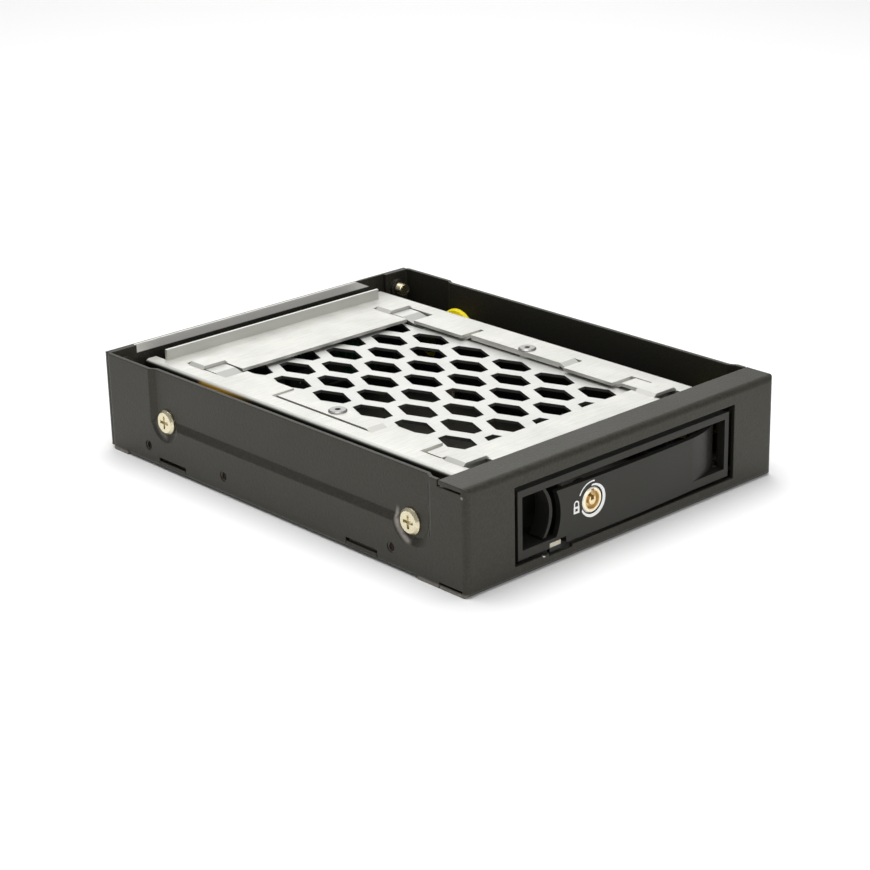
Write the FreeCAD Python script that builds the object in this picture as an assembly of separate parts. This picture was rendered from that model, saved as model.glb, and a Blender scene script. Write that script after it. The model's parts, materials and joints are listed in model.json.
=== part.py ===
"""Lockable rack for one 2.5-inch drive, built to fill a 3.5-inch bay.

A folded black housing carries a bare-steel drive cage on rubber bushes. A moulded front door with a
key lock, a sprung catch and a coupled ejector closes the drive slot.
X runs to the right, Y to the rear and Z up. Depths are measured from the front plate's outer face.
"""
import FreeCAD, Part
import math
import os

V = FreeCAD.Vector
X_AXIS = V(1, 0, 0)
Y_AXIS = V(0, 1, 0)
Z_AXIS = V(0, 0, 1)

# Housing, a folded sheet
WIDTH = 101.6
HEIGHT = 25.4
BODY_DEPTH = 130.5
SHEET = 1.0
BEND_RADIUS = 1.5
FLANGE_DEPTH = 8.5
FLANGE_SLIT = 0.5
SLIT_OVERRUN = 0.4
RETURN_WIDTH = 8.8
FOOT_FLANGE_WIDTH = 6.0
FOOT_FLANGE_FRONT = 15.8
FOOT_FLANGE_REAR_GAP = 6.8

# Front window and the catch's notch in its lower edge
WINDOW_SIDE = 14.45
WINDOW_BOTTOM = 3.1
WINDOW_TOP_GAP = 3.65
NOTCH_MARGIN = 1.0
NOTCH_WIDTH = 7.5
NOTCH_DEPTH = 0.6

# Side wall: pressed recess, cage screws, bay screw holes and tab slots
RECESS_DEPTH = 1.0
RECESS_SLOPE = 1.8
RECESS_FRONT = 11.2
RECESS_REAR_GAP = 17.7
RECESS_DROP = 1.1
LOBE_RADIUS = 5.2
CAGE_SCREW_FRONT = 18.5
CAGE_SCREW_REAR_GAP = 23.2
BAY_HOLE_DEPTHS = (24.4, 84.4, 114.4)
BAY_HOLE_HEIGHT = 5.0
BAY_HOLE_RADIUS = 1.25
TAB_FRONT = 29.0
TAB_REAR_GAP = 31.1
TAB_LENGTH = 10.8
TAB_SLOT_HEIGHT = 1.9
FIT_GAP = 0.2

# Base and back plates
BASE_EDGE_GAP = 0.6
BASE_REAR_GAP = 0.4
BACK_SHEET = 0.8
BACK_EDGE_GAP = 0.6
BACK_SCREW_SIDE = 4.8
BACK_SCREW_BOTTOM = 5.0
BACK_SCREW_TOP_GAP = 4.5
BACK_SCREW_REACH = 5.2
COLLAR_RADIUS = 2.5
COLLAR_LENGTH = 0.8

# Fasteners
M3_RADIUS = 1.5
THREAD_GAP = 0.05
CLEAR_HOLE_GAP = 0.2
LOW_HEAD_RADIUS = 2.8
LOW_HEAD_HEIGHT = 1.2
LOW_HEAD_CHAMFER = 0.4
SIDE_HEAD_RADIUS = 3.15
SIDE_HEAD_HEIGHT = 1.0
SIDE_HEAD_CHAMFER = 0.6
CROSS_WIDTH = 0.7
CROSS_LENGTH = 3.2
CROSS_DEPTH = 0.6
NUT_FLATS = 5.5
NUT_HEIGHT = 1.8

# Drive cage and its hook lances
CAGE_SIDE_GAP = 10.6
CAGE_TOP_GAP = 3.9
CAGE_SHEET = 0.8
CAGE_FRONT = 7.6
CAGE_WALL_FRONT = 12.0
CAGE_REAR_GAP = 1.8
CAGE_FLOOR_GAP = 2.0
CAGE_FOOT_WIDTH = 3.0
CAGE_BEND_RADIUS = 1.2
LIP_REAR_GAP = 5.8
LIP_LEFT_INSET = 3.4
LIP_RIGHT_INSET = 5.9
LIP_HEIGHT = 2.7
STRIP_WIDTH = 12.2
FRONT_STRIP = 17.2
CAGE_WINDOW_REAR_GAP = 25.5
LAND_EDGE_INSET = 5.2
LAND_WIDTH = 5.5
LAND_RAMP = 1.8
LAND_FRONT_RAMP = 2.5
LAND_LIFT = 0.25
LAND_LAP = 1.0
LAND_SLIT = 0.45
MID_LAND_FRONT = 48.0
MID_LAND_LENGTH = 36.5
FRONT_LAND_LENGTH = 6.7
HOOK_OVERLAP = 0.4
HOOK_WIDTH = 7.2
HOOK_RISE = 0.8
HOOK_LENGTH = 7.0
HOOK_RAMP = 1.5
HOOK_FOOT = 0.5
HOOK_SHEAR_GAP = 0.25
REAR_HOOK_SETBACK = 6.5
TONGUE_BARE = 8.8
FRONT_HOOK_REACH = 7.6
FRONT_HOOK_SLOT = 2.0

# Perforated vent plate
VENT_SIDE_GAP = 3.2
VENT_FRONT_TUCK = 6.3
VENT_REAR_TUCK = 9.5
HEX_HALF_WIDTH = 3.6
HEX_HALF_LENGTH = 5.8
HEX_HALF_FLAT = 1.32
HEX_COLUMN_STEP = 7.72
HEX_ROW_STEP = 14.93
HEX_CENTRE_X = 0.5
HEX_FIRST_TUCK = 0.4
TONGUE_TUCK = 3.2
TONGUE_RAMP = 8.0
TONGUE_REACH = 3.0
TONGUE_RISE = 1.5
RIVET_INSET = 3.5
RIVET_DEPTH = 64.0
RIVET_SHANK_RADIUS = 1.4
RIVET_HEAD_RADIUS = 2.3
RIVET_HEAD_HEIGHT = 0.5
RIVET_HEAD_CHAMFER = 0.3
RIVET_EYE_RADIUS = 0.7
RIVET_COLLAR_RADIUS = 2.0
RIVET_STRIP_SHEET = 0.5
RIVET_STRIP_GAP = 0.3

# Drive slot and guide rails
RAIL_THICKNESS = 4.2
RAIL_WALL_GAP = 0.1
RAIL_FRONT_GAP = 0.5
RAIL_REAR_GAP = 5.0
RAIL_TOP_GAP = 0.6
RAIL_LIP = 1.4
RAIL_LIP_HEIGHT = 0.9
RAIL_LEDGE = 1.6
RAIL_LEAD_IN = 1.5
DRIVE_LIFT = 1.0
NUT_POCKET_GAP = 0.5

# Rubber bushes between housing wall and cage wall
BUSH_FLANGE_RADIUS = 6.3
BUSH_FLANGE_LENGTH = 1.4
BUSH_FLANGE_CHAMFER = 0.45
BUSH_NECK_RADIUS = 4.2
BUSH_GROOVE_RADIUS = 3.4
BUSH_LIP_RADIUS = 4.6
BUSH_LIP_LENGTH = 1.5
BUSH_GAP = 0.05

# Backplane board and connectors
BOARD_SETBACK = 9.5
BOARD_SHEET = 1.6
BOARD_SIDE_GAP = 4.2
BOARD_FLOOR_GAP = 1.2
BOARD_TOP_GAP = 0.1
STANDOFF_INSET = 5.0
STANDOFF_DROP = 3.5
STANDOFF_RADIUS = 2.4
DRIVE_SOCKET_LEFT = -30.0
DRIVE_SOCKET_RIGHT = 12.5
DRIVE_SOCKET_DEPTH = 8.0
SOCKET_LIFT = 0.2
SOCKET_HEIGHT = 5.4
KEYWAY_HEIGHT = 1.7
KEYWAY_DEPTH = 5.5
POWER_KEYWAY = (-27.0, -6.4)
DATA_KEYWAY = (-3.5, 6.9)
DATA_PLUG = (-27.5, -12.5)
POWER_PLUG = (-8.5, 16.0)
PLUG_BOTTOM = 6.8
PLUG_HEIGHT = 5.6
PLUG_WALL = 0.9
PLUG_FLOOR = 2.0
PLUG_TONGUE = 1.2
PLUG_WINDOW_GAP = 0.3

# Door, a single moulding
DOOR_SIDE_GAP = 1.4
DOOR_BOTTOM_GAP = 0.85
DOOR_TOP_GAP = 1.5
DOOR_FACE = 0.5
DOOR_RAIL_DEPTH = 2.4
DOOR_STILE = 1.4
DOOR_BOTTOM_RAIL = 2.1
DOOR_TOP_RAIL = 1.65
PANEL_TOP_GAP = 1.6
PANEL_WALL = 1.4
PANEL_BOW = 0.45
PANEL_CURL_LENGTH = 10.3
PANEL_CURL_DEPTH = 3.4
PANEL_RIGHT_GAP = 2.35
SCALLOP_RISE = 1.3
FINGER_OPENING = 11.95
WELL_OVERLAP = 2.2
WELL_WALL = 0.8
WELL_DEPTH = 7.2
CATCH_SLOT_WIDTH = 5.1
CATCH_SLOT_HEIGHT = 1.45

# Door hinge with goose-neck arms that clear the window's edge
HINGE_INSET = 11.9
HINGE_DEPTH = 3.4
HINGE_PIN_RADIUS = 0.75
HINGE_RUN_GAP = 0.05
KNUCKLE_RADIUS = 1.6
SWEEP_CLEAR_RADIUS = 4.8
ARM_OUTER_RADIUS = 7.0
ARM_START_ANGLE = 84.0
ARM_END_ANGLE = 186.0
ARM_SPOKE_ANGLE = 20.0
ARM_EDGE_GAP = 0.05
LOWER_ARM_HEIGHT = 1.2
UPPER_ARM_GAP = 0.25
UPPER_ARM_HEIGHT = 1.7
BRACKET_SHEET = 1.0
BRACKET_EAR_GAP = 0.3
BRACKET_WEB_GAP = 0.8
BRACKET_DEPTH = 6.0
BRACKET_FOOT = 5.2
BRACKET_EAR = 2.0

# Key lock
LOCK_OFFSET = 11.0
LOCK_RAISE = -0.25
BARREL_RADIUS = 3.05
BARREL_FACE = 0.0
LOCK_RUN_GAP = 0.05
BOSS_WALL = 0.8
BOSS_END = 4.6
KEY_RECESS_RADIUS = 2.15
KEY_RECESS_DEPTH = 1.0
KEY_SLOT_WIDTH = 1.0
KEY_SLOT_DEPTH = 3.0
TAIL_HALF = 1.1
CAM_SHEET = 0.9
CAM_REACH = 10.6
CAM_HUB_RADIUS = 2.5
CAM_WIDTH = 4.0
CLIP_RADIUS = 2.2
CLIP_SHEET = 0.6

# Sprung catch
BLADE_END_GAP = 0.45
BLADE_SETBACK = 0.6
BLADE_SAGITTA = 2.1
BLADE_WALL = 0.9
BLADE_FRONT = 1.2
BLADE_DEPTH = 4.4
STEM_BOSS_GAP = 1.6
STEM_HEIGHT = 2.8
STEM_FRONT = 4.4
STEM_SHEET = 1.2
STEM_GAP = 0.35
BOLT_OFFSET = 1.9
BOLT_WIDTH = 3.5
BOLT_SHEET = 0.8
BOLT_SHELF_GAP = 0.25
BOLT_FACE = 0.75
BOLT_LEG_WIDTH = 2.1
BOLT_LEG_RISE = 1.0
SPRING_SHEET = 0.25
SPRING_HALF_SPAN = 3.0
SPRING_WIDTH = 0.9

# Ejector, pulled forward by a nub on the lower hinge arm
NUB_RADIUS = 0.8
NUB_ORBIT = 5.9
NUB_ANGLE = 135.0
NUB_PLAY = 0.4
EJECTOR_ARM_GAP = 0.2
EJECTOR_SHEET = 0.8
EJECTOR_RAIL_GAP = 0.4
EJECTOR_WIDTH = 4.8
EJECTOR_HORN_REACH = 0.9
EJECTOR_HORN = 1.2
EJECTOR_SPINE = 2.9
EJECTOR_TAB_GAP = 1.0
EJECTOR_TAB_RISE = 5.8
EJECTOR_TRAVEL = 8.7
STUD_FRONT = 40.0
STUD_REAR_GAP = 20.0
STUD_RADIUS = 1.0
STUD_BASE_RADIUS = 2.2
STUD_HEAD_RADIUS = 1.9
STUD_HEAD_HEIGHT = 0.5
STUD_SLOT_GAP = 0.1

# Places of the housing
MARGIN = 1.0
HALF_WIDTH = WIDTH / 2
WALL_INNER = HALF_WIDTH - SHEET
RECESS_FLOOR = HALF_WIDTH - RECESS_DEPTH
RECESS_INNER = WALL_INNER - RECESS_DEPTH
RETURN_INNER = HALF_WIDTH - RETURN_WIDTH
FOOT_FLANGE_REAR = BODY_DEPTH - FOOT_FLANGE_REAR_GAP
WINDOW_HALF = HALF_WIDTH - WINDOW_SIDE
WINDOW_TOP = HEIGHT - WINDOW_TOP_GAP
CAGE_SCREW_HEIGHT = HEIGHT / 2
CAGE_SCREW_DEPTHS = (CAGE_SCREW_FRONT, BODY_DEPTH - CAGE_SCREW_REAR_GAP)
LOBE_DEPTHS = CAGE_SCREW_DEPTHS + (RECESS_FRONT + LOBE_RADIUS + FIT_GAP,)
RECESS_REAR = BODY_DEPTH - RECESS_REAR_GAP
RECESS_BOTTOM = CAGE_SCREW_HEIGHT - RECESS_DROP
BASE_BOTTOM = SHEET
BASE_TOP = BASE_BOTTOM + SHEET
TAB_FRONTS = (TAB_FRONT, BODY_DEPTH - TAB_REAR_GAP)
TAB_SLOT_TOP = BASE_BOTTOM + TAB_SLOT_HEIGHT
BACK_FRONT = BODY_DEPTH
BACK_REAR = BODY_DEPTH + BACK_SHEET
BACK_SCREW_X = HALF_WIDTH - BACK_SCREW_SIDE
BACK_SCREW_HEIGHTS = (BACK_SCREW_BOTTOM, HEIGHT - BACK_SCREW_TOP_GAP)
OVERALL_DEPTH = BACK_REAR + LOW_HEAD_HEIGHT

# Places of the cage and the vent plate
CAGE_HALF = HALF_WIDTH - CAGE_SIDE_GAP
CAGE_WALL_INNER = CAGE_HALF - CAGE_SHEET
CAGE_TOP = HEIGHT - CAGE_TOP_GAP
CAGE_UNDER = CAGE_TOP - CAGE_SHEET
CAGE_BOTTOM = BASE_TOP + CAGE_FLOOR_GAP
CAGE_REAR = BODY_DEPTH - CAGE_REAR_GAP
LIP_REAR = BODY_DEPTH - LIP_REAR_GAP
LIP_LEFT = LIP_LEFT_INSET - CAGE_HALF
LIP_RIGHT = CAGE_HALF - LIP_RIGHT_INSET
LIP_TOP = CAGE_TOP + LIP_HEIGHT
CAGE_WINDOW_HALF = CAGE_HALF - STRIP_WIDTH
CAGE_WINDOW_FRONT = CAGE_FRONT + FRONT_STRIP
CAGE_WINDOW_REAR = BODY_DEPTH - CAGE_WINDOW_REAR_GAP
LAND_EDGE = CAGE_HALF - LAND_EDGE_INSET
LAND_INNER = LAND_EDGE - LAND_WIDTH
MID_LAND = (MID_LAND_FRONT, MID_LAND_FRONT + MID_LAND_LENGTH)
FRONT_LAND = (CAGE_WINDOW_FRONT, CAGE_WINDOW_FRONT + FRONT_LAND_LENGTH)
HOOK_INNER = CAGE_WINDOW_HALF - HOOK_OVERLAP
HOOK_OUTER = HOOK_INNER + HOOK_WIDTH
REAR_HOOK_MOUTH = CAGE_WINDOW_REAR + REAR_HOOK_SETBACK
FRONT_HOOK_MOUTH = CAGE_WINDOW_FRONT - FRONT_HOOK_REACH
VENT_TOP = CAGE_UNDER - CAGE_SHEET
VENT_UNDER = VENT_TOP - CAGE_SHEET
VENT_HALF = CAGE_HALF - VENT_SIDE_GAP
VENT_FRONT = CAGE_WINDOW_FRONT - VENT_FRONT_TUCK
VENT_REAR = CAGE_WINDOW_REAR + VENT_REAR_TUCK
HEX_FIRST_ROW = CAGE_WINDOW_FRONT - HEX_FIRST_TUCK
HEX_ROWS = 1 + int((CAGE_WINDOW_REAR - HEX_FIRST_ROW) / HEX_ROW_STEP)
HEX_COLUMNS = 1 + int(2 * (CAGE_WINDOW_HALF - HEX_HALF_WIDTH) / HEX_COLUMN_STEP)
TAB_END = REAR_HOOK_MOUTH - TONGUE_BARE
TONGUE_ROOT = TAB_END - TONGUE_TUCK
RIVET_X = LAND_EDGE - RIVET_INSET
LAND_TOP = CAGE_TOP + LAND_LIFT
LAND_UNDER = CAGE_UNDER + LAND_LIFT
RIVET_STRIP_UNDER = LAND_UNDER - RIVET_STRIP_SHEET

# Places of the door, its hinge, lock and catch
DOOR_HALF = WINDOW_HALF - DOOR_SIDE_GAP
DOOR_BOTTOM = WINDOW_BOTTOM + DOOR_BOTTOM_GAP
DOOR_TOP = WINDOW_TOP - DOOR_TOP_GAP
DOOR_REAR = DOOR_FACE + DOOR_RAIL_DEPTH
DOOR_INNER_HALF = DOOR_HALF - DOOR_STILE
DOOR_INNER_BOTTOM = DOOR_BOTTOM + DOOR_BOTTOM_RAIL
DOOR_INNER_TOP = DOOR_TOP - DOOR_TOP_RAIL
PANEL_TOP = DOOR_INNER_TOP - PANEL_TOP_GAP
PANEL_LEFT = FINGER_OPENING - DOOR_HALF
PANEL_RIGHT = DOOR_HALF - PANEL_RIGHT_GAP
PANEL_CURL_START = PANEL_RIGHT - PANEL_CURL_LENGTH
WELL_RIGHT = PANEL_LEFT + WELL_OVERLAP
HINGE_X = HALF_WIDTH - HINGE_INSET
LOWER_ARM = (DOOR_BOTTOM + ARM_EDGE_GAP, DOOR_BOTTOM + ARM_EDGE_GAP + LOWER_ARM_HEIGHT)
UPPER_ARM = (DOOR_TOP - UPPER_ARM_GAP - UPPER_ARM_HEIGHT, DOOR_TOP - UPPER_ARM_GAP)
BRACKET_LOW = LOWER_ARM[0] - BRACKET_EAR_GAP - BRACKET_SHEET
BRACKET_HIGH = UPPER_ARM[1] + BRACKET_EAR_GAP + BRACKET_SHEET
LOCK_X = PANEL_LEFT + LOCK_OFFSET
LOCK_HEIGHT = (DOOR_BOTTOM + DOOR_TOP) / 2 + LOCK_RAISE
BOSS_RADIUS = BARREL_RADIUS + LOCK_RUN_GAP + BOSS_WALL
BLADE_BOTTOM = DOOR_INNER_BOTTOM + BLADE_END_GAP
BLADE_TOP = DOOR_INNER_TOP - BLADE_END_GAP
BLADE_MID_X = PANEL_LEFT - BLADE_SETBACK
BLADE_END_X = BLADE_MID_X - BLADE_SAGITTA
STEM_RIGHT = LOCK_X - BOSS_RADIUS - STEM_BOSS_GAP
STEM_REAR = STEM_FRONT + STEM_SHEET
BOLT_LEFT = PANEL_LEFT - BOLT_OFFSET
BOLT_TIP = WINDOW_BOTTOM - NOTCH_DEPTH + FIT_GAP
BOLT_SHELF_BOTTOM = DOOR_BOTTOM + BOLT_SHELF_GAP
NOTCH_LEFT = BOLT_LEFT - NOTCH_MARGIN
CATCH_SLOT_LEFT = BOLT_LEFT - FIT_GAP

# Places of the drive slot, the board and the ejector
EJECTOR_BOTTOM = LOWER_ARM[1] + EJECTOR_ARM_GAP
EJECTOR_TOP = EJECTOR_BOTTOM + EJECTOR_SHEET
DRIVE_FLOOR = EJECTOR_TOP + DRIVE_LIFT
DRIVE_HALF = CAGE_WALL_INNER - RAIL_THICKNESS
RAIL_TOP = VENT_UNDER - RAIL_TOP_GAP
SLOT_TOP = RAIL_TOP - RAIL_LIP_HEIGHT
RAIL_FRONT = CAGE_WALL_FRONT + RAIL_FRONT_GAP
BOARD_FRONT = BODY_DEPTH - BOARD_SETBACK
BOARD_REAR = BOARD_FRONT + BOARD_SHEET
RAIL_REAR = BOARD_FRONT - RAIL_REAR_GAP
BOARD_HALF = CAGE_HALF - BOARD_SIDE_GAP
BOARD_BOTTOM = BASE_TOP + BOARD_FLOOR_GAP
BOARD_TOP = VENT_UNDER - BOARD_TOP_GAP
STANDOFF_X = BOARD_HALF - STANDOFF_INSET
STANDOFF_HEIGHT = BOARD_TOP - STANDOFF_DROP
SOCKET_BOTTOM = DRIVE_FLOOR + SOCKET_LIFT
SOCKET_TOP = SOCKET_BOTTOM + SOCKET_HEIGHT
SOCKET_FRONT = BOARD_FRONT - DRIVE_SOCKET_DEPTH
PLUG_TOP = PLUG_BOTTOM + PLUG_HEIGHT
EJECTOR_LEFT = DRIVE_HALF - RAIL_LIP - EJECTOR_RAIL_GAP - EJECTOR_WIDTH
EJECTOR_TAB = SOCKET_FRONT - EJECTOR_TAB_GAP
STUD_DEPTHS = (STUD_FRONT, EJECTOR_TAB - STUD_REAR_GAP)


def block(x0, x1, y0, y1, z0, z1):
    """Box between two corners."""
    return Part.makeBox(x1 - x0, y1 - y0, z1 - z0, V(x0, y0, z0))


def rod(radius, start, direction, length):
    """Cylinder from a start point along a direction."""
    return Part.makeCylinder(radius, length, start, direction)


def prism(points, direction):
    """Closed polygon through the points, extruded along a vector."""
    wire = Part.makePolygon(points + [points[0]])
    return Part.Face(wire).extrude(direction)


def mirrored(shape):
    """The shape's twin on the other side of the middle plane."""
    return shape.mirror(V(0, 0, 0), X_AXIS)


def both_sides(shape):
    """The shape and its twin."""
    return [shape, mirrored(shape)]


def fuse_all(shapes):
    """One clean solid from touching shapes."""
    return shapes[0].multiFuse(shapes[1:]).removeSplitter()


def cut_all(shape, tools):
    """The shape less all tools."""
    return shape.cut(Part.Compound(tools))


def rounded_block(x0, x1, y0, y1, z0, z1, radius):
    """Box with rounded upright edges."""
    body = block(x0, x1, y0, y1, z0, z1)
    upright = [e for e in body.Edges if abs(e.tangentAt(e.FirstParameter).z) > 0.9]
    return body.makeFillet(radius, upright)


def polar(radius, degrees, z=0.0):
    """Point about the hinge axis."""
    angle = math.radians(degrees)
    return V(HINGE_X + radius * math.cos(angle), HINGE_DEPTH + radius * math.sin(angle), z)


def save(name, *solids):
    """Write one node, moved so that the frame's origin is under the middle of the part."""
    os.makedirs("parts", exist_ok=True)
    shape = solids[0] if len(solids) == 1 else Part.Compound(list(solids))
    shape = shape.copy()
    shape.translate(V(0, -OVERALL_DEPTH / 2, 0))
    shape.exportStep("parts/%s.step" % name)


def recess_outline(x, inset):
    """Outline of the pressed recess at one level of its sloped rim."""
    top = HEIGHT + MARGIN
    front = RECESS_FRONT + inset
    rear = RECESS_REAR - inset
    bottom = RECESS_BOTTOM + inset
    return Part.makePolygon([V(x, front, bottom), V(x, rear, bottom), V(x, rear, top), V(x, front, top),
                             V(x, front, bottom)])


def recess_solid(outer_x):
    """Sloped pocket of the recess, with its wide side at outer_x and its floor inward."""
    floor_x = outer_x - RECESS_DEPTH
    outlines = [recess_outline(outer_x, 0.0), recess_outline(floor_x, RECESS_SLOPE)]
    pocket = Part.makeLoft(outlines, True, True)
    lobes = [Part.makeCone(LOBE_RADIUS - RECESS_SLOPE, LOBE_RADIUS, RECESS_DEPTH,
                           V(floor_x, depth, CAGE_SCREW_HEIGHT), X_AXIS)
             for depth in LOBE_DEPTHS]
    return fuse_all([pocket] + lobes)


def foot_flange():
    """Right wall's lower bend with its inward foot."""
    outer = block(HALF_WIDTH - FOOT_FLANGE_WIDTH, HALF_WIDTH, FOOT_FLANGE_FRONT, FOOT_FLANGE_REAR,
                  0, 2 * BEND_RADIUS)
    edge = [e for e in outer.Edges
            if abs(e.CenterOfMass.x - HALF_WIDTH) < 0.01 and abs(e.CenterOfMass.z) < 0.01]
    outer = outer.makeFillet(BEND_RADIUS, edge)
    hollow = block(0, WALL_INNER, FOOT_FLANGE_FRONT - MARGIN, FOOT_FLANGE_REAR + MARGIN, SHEET, HEIGHT)
    return outer.cut(hollow)


def side_tools():
    """Everything cut from the right wall."""
    depth_in = 2 * RECESS_DEPTH + SHEET + MARGIN
    start = HALF_WIDTH - depth_in
    tools = [rod(BAY_HOLE_RADIUS, V(start, depth, BAY_HOLE_HEIGHT), X_AXIS, depth_in + MARGIN)
             for depth in BAY_HOLE_DEPTHS]
    tools += [rod(M3_RADIUS + CLEAR_HOLE_GAP, V(start, depth, CAGE_SCREW_HEIGHT), X_AXIS, depth_in + MARGIN)
              for depth in CAGE_SCREW_DEPTHS]
    tools += [block(WALL_INNER - MARGIN, HALF_WIDTH + MARGIN, front, front + TAB_LENGTH, BASE_BOTTOM,
                    TAB_SLOT_TOP)
              for front in TAB_FRONTS]
    return tools


def envelope():
    """Solid block of the housing, rounded at its upright bends and at the front plate's flange bends."""
    upright = rounded_block(-HALF_WIDTH, HALF_WIDTH, 0, BODY_DEPTH, 0, HEIGHT, BEND_RADIUS)
    level = block(-HALF_WIDTH, HALF_WIDTH, 0, BODY_DEPTH, 0, HEIGHT)
    front = [e for e in level.Edges
             if abs(e.CenterOfMass.y) < 0.01 and abs(e.tangentAt(e.FirstParameter).x) > 0.9]
    return upright.common(level.makeFillet(BEND_RADIUS, front))


def housing_shell():
    """Front plate, walls, returns and flanges, folded from one sheet."""
    outer = envelope()
    inner = rounded_block(-WALL_INNER, WALL_INNER, SHEET, BODY_DEPTH - SHEET, -MARGIN, HEIGHT + MARGIN,
                          BEND_RADIUS - SHEET)
    shell = outer.cut(inner)
    flanges = [outer.common(block(-HALF_WIDTH, HALF_WIDTH, 0, FLANGE_DEPTH, z, z + SHEET))
               for z in (0, HEIGHT - SHEET)]
    slit_rear = FLANGE_DEPTH + SLIT_OVERRUN
    slit_height = SHEET + FLANGE_SLIT
    slits = [block(-HALF_WIDTH - MARGIN, HALF_WIDTH + MARGIN, BEND_RADIUS, slit_rear, z, z + slit_height)
             for z in (0, HEIGHT - slit_height)]
    rear_gap = block(-RETURN_INNER, RETURN_INNER, BODY_DEPTH - 2 * SHEET, BODY_DEPTH + MARGIN, -MARGIN,
                     HEIGHT + MARGIN)
    foot_zone = block(WALL_INNER - MARGIN, HALF_WIDTH + MARGIN, FOOT_FLANGE_FRONT, FOOT_FLANGE_REAR,
                      -MARGIN, 2 * BEND_RADIUS)
    shell = cut_all(shell, slits + [rear_gap] + both_sides(foot_zone))
    shell = fuse_all([shell] + flanges + both_sides(foot_flange()))
    pressed = [recess_solid(WALL_INNER).common(block(0, WALL_INNER, 0, BODY_DEPTH, 0, HEIGHT))]
    shell = fuse_all([shell] + pressed + [mirrored(pressed[0])])
    pocket = recess_solid(HALF_WIDTH)
    collars = [rod(COLLAR_RADIUS, V(BACK_SCREW_X, BODY_DEPTH - SHEET / 2, z), -Y_AXIS,
                   SHEET / 2 + COLLAR_LENGTH)
               for z in BACK_SCREW_HEIGHTS]
    shell = fuse_all([shell] + collars + [mirrored(c) for c in collars])
    thread_holes = [rod(M3_RADIUS + THREAD_GAP, V(BACK_SCREW_X, BODY_DEPTH + MARGIN, z), -Y_AXIS, 4 * SHEET)
                    for z in BACK_SCREW_HEIGHTS]
    tools = [pocket] + side_tools() + thread_holes
    tools = tools + [mirrored(t) for t in tools]
    tools.append(block(-WINDOW_HALF, WINDOW_HALF, -MARGIN, SHEET + MARGIN, WINDOW_BOTTOM, WINDOW_TOP))
    tools.append(block(NOTCH_LEFT, NOTCH_LEFT + NOTCH_WIDTH, -MARGIN, SHEET + MARGIN,
                       WINDOW_BOTTOM - NOTCH_DEPTH, WINDOW_BOTTOM + MARGIN))
    return cut_all(shell, tools)


def base_plate():
    """Bottom sheet on the foot flanges, with tabs in the wall slots."""
    half = WALL_INNER - BASE_EDGE_GAP
    sheet = block(-half, half, BEND_RADIUS, BODY_DEPTH - SHEET - BASE_REAR_GAP, BASE_BOTTOM, BASE_TOP)
    tabs = [block(0, HALF_WIDTH, front + FIT_GAP, front + TAB_LENGTH - FIT_GAP, BASE_BOTTOM, BASE_TOP)
            for front in TAB_FRONTS]
    return fuse_all([sheet] + tabs + [mirrored(t) for t in tabs])


def back_plate():
    """Rear sheet with windows for the two rear connectors."""
    half = HALF_WIDTH - BACK_EDGE_GAP
    sheet = block(-half, half, BACK_FRONT, BACK_REAR, BACK_EDGE_GAP, HEIGHT)
    windows = [block(left - PLUG_WINDOW_GAP, right + PLUG_WINDOW_GAP, BACK_FRONT - MARGIN,
                     BACK_REAR + MARGIN,
                     PLUG_BOTTOM - PLUG_WINDOW_GAP, PLUG_TOP + PLUG_WINDOW_GAP)
               for left, right in (DATA_PLUG, POWER_PLUG)]
    holes = [rod(M3_RADIUS + CLEAR_HOLE_GAP, V(BACK_SCREW_X, BACK_FRONT - MARGIN, z), Y_AXIS, 3 * MARGIN)
             for z in BACK_SCREW_HEIGHTS]
    holes.append(rod(M3_RADIUS + CLEAR_HOLE_GAP, V(STANDOFF_X, BACK_FRONT - MARGIN, STANDOFF_HEIGHT),
                     Y_AXIS,
                     3 * MARGIN))
    return cut_all(sheet, windows + holes + [mirrored(h) for h in holes])


def cross_recess(x, z, face, inward):
    """Cross-shaped driver recess in a screw head that faces along Y."""
    depth = inward * CROSS_DEPTH
    arms = [block(x - w / 2, x + w / 2, min(face, face + depth), max(face, face + depth), z - h / 2,
                  z + h / 2)
            for w, h in ((CROSS_WIDTH, CROSS_LENGTH), (CROSS_LENGTH, CROSS_WIDTH))]
    return fuse_all(arms)


def low_screw(x, z, seat, outward, reach):
    """Low-head screw along Y: head outside its seat, thread inside."""
    along = Y_AXIS * outward
    head = rod(LOW_HEAD_RADIUS, V(x, seat, z), along, LOW_HEAD_HEIGHT)
    rim = [e for e in head.Edges if abs(e.CenterOfMass.y - seat - outward * LOW_HEAD_HEIGHT) < 0.01]
    head = head.makeChamfer(LOW_HEAD_CHAMFER, rim)
    shank = rod(M3_RADIUS, V(x, seat, z), -along, reach)
    recess = cross_recess(x, z, seat + outward * LOW_HEAD_HEIGHT, -outward)
    return fuse_all([head, shank]).cut(recess)


def back_plate_screws():
    """Four screws through the rear sheet into the returns."""
    screws = [low_screw(BACK_SCREW_X, z, BACK_REAR, 1, BACK_SCREW_REACH) for z in BACK_SCREW_HEIGHTS]
    return screws + [mirrored(s) for s in screws]


def land_profile(points):
    """Land of the right strip, from a profile along its depth, sheared free along its outer edge."""
    outline = [V(LAND_INNER, depth, z) for depth, z in points]
    return prism(outline, X_AXIS * (LAND_EDGE - LAND_SLIT - LAND_INNER))


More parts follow.
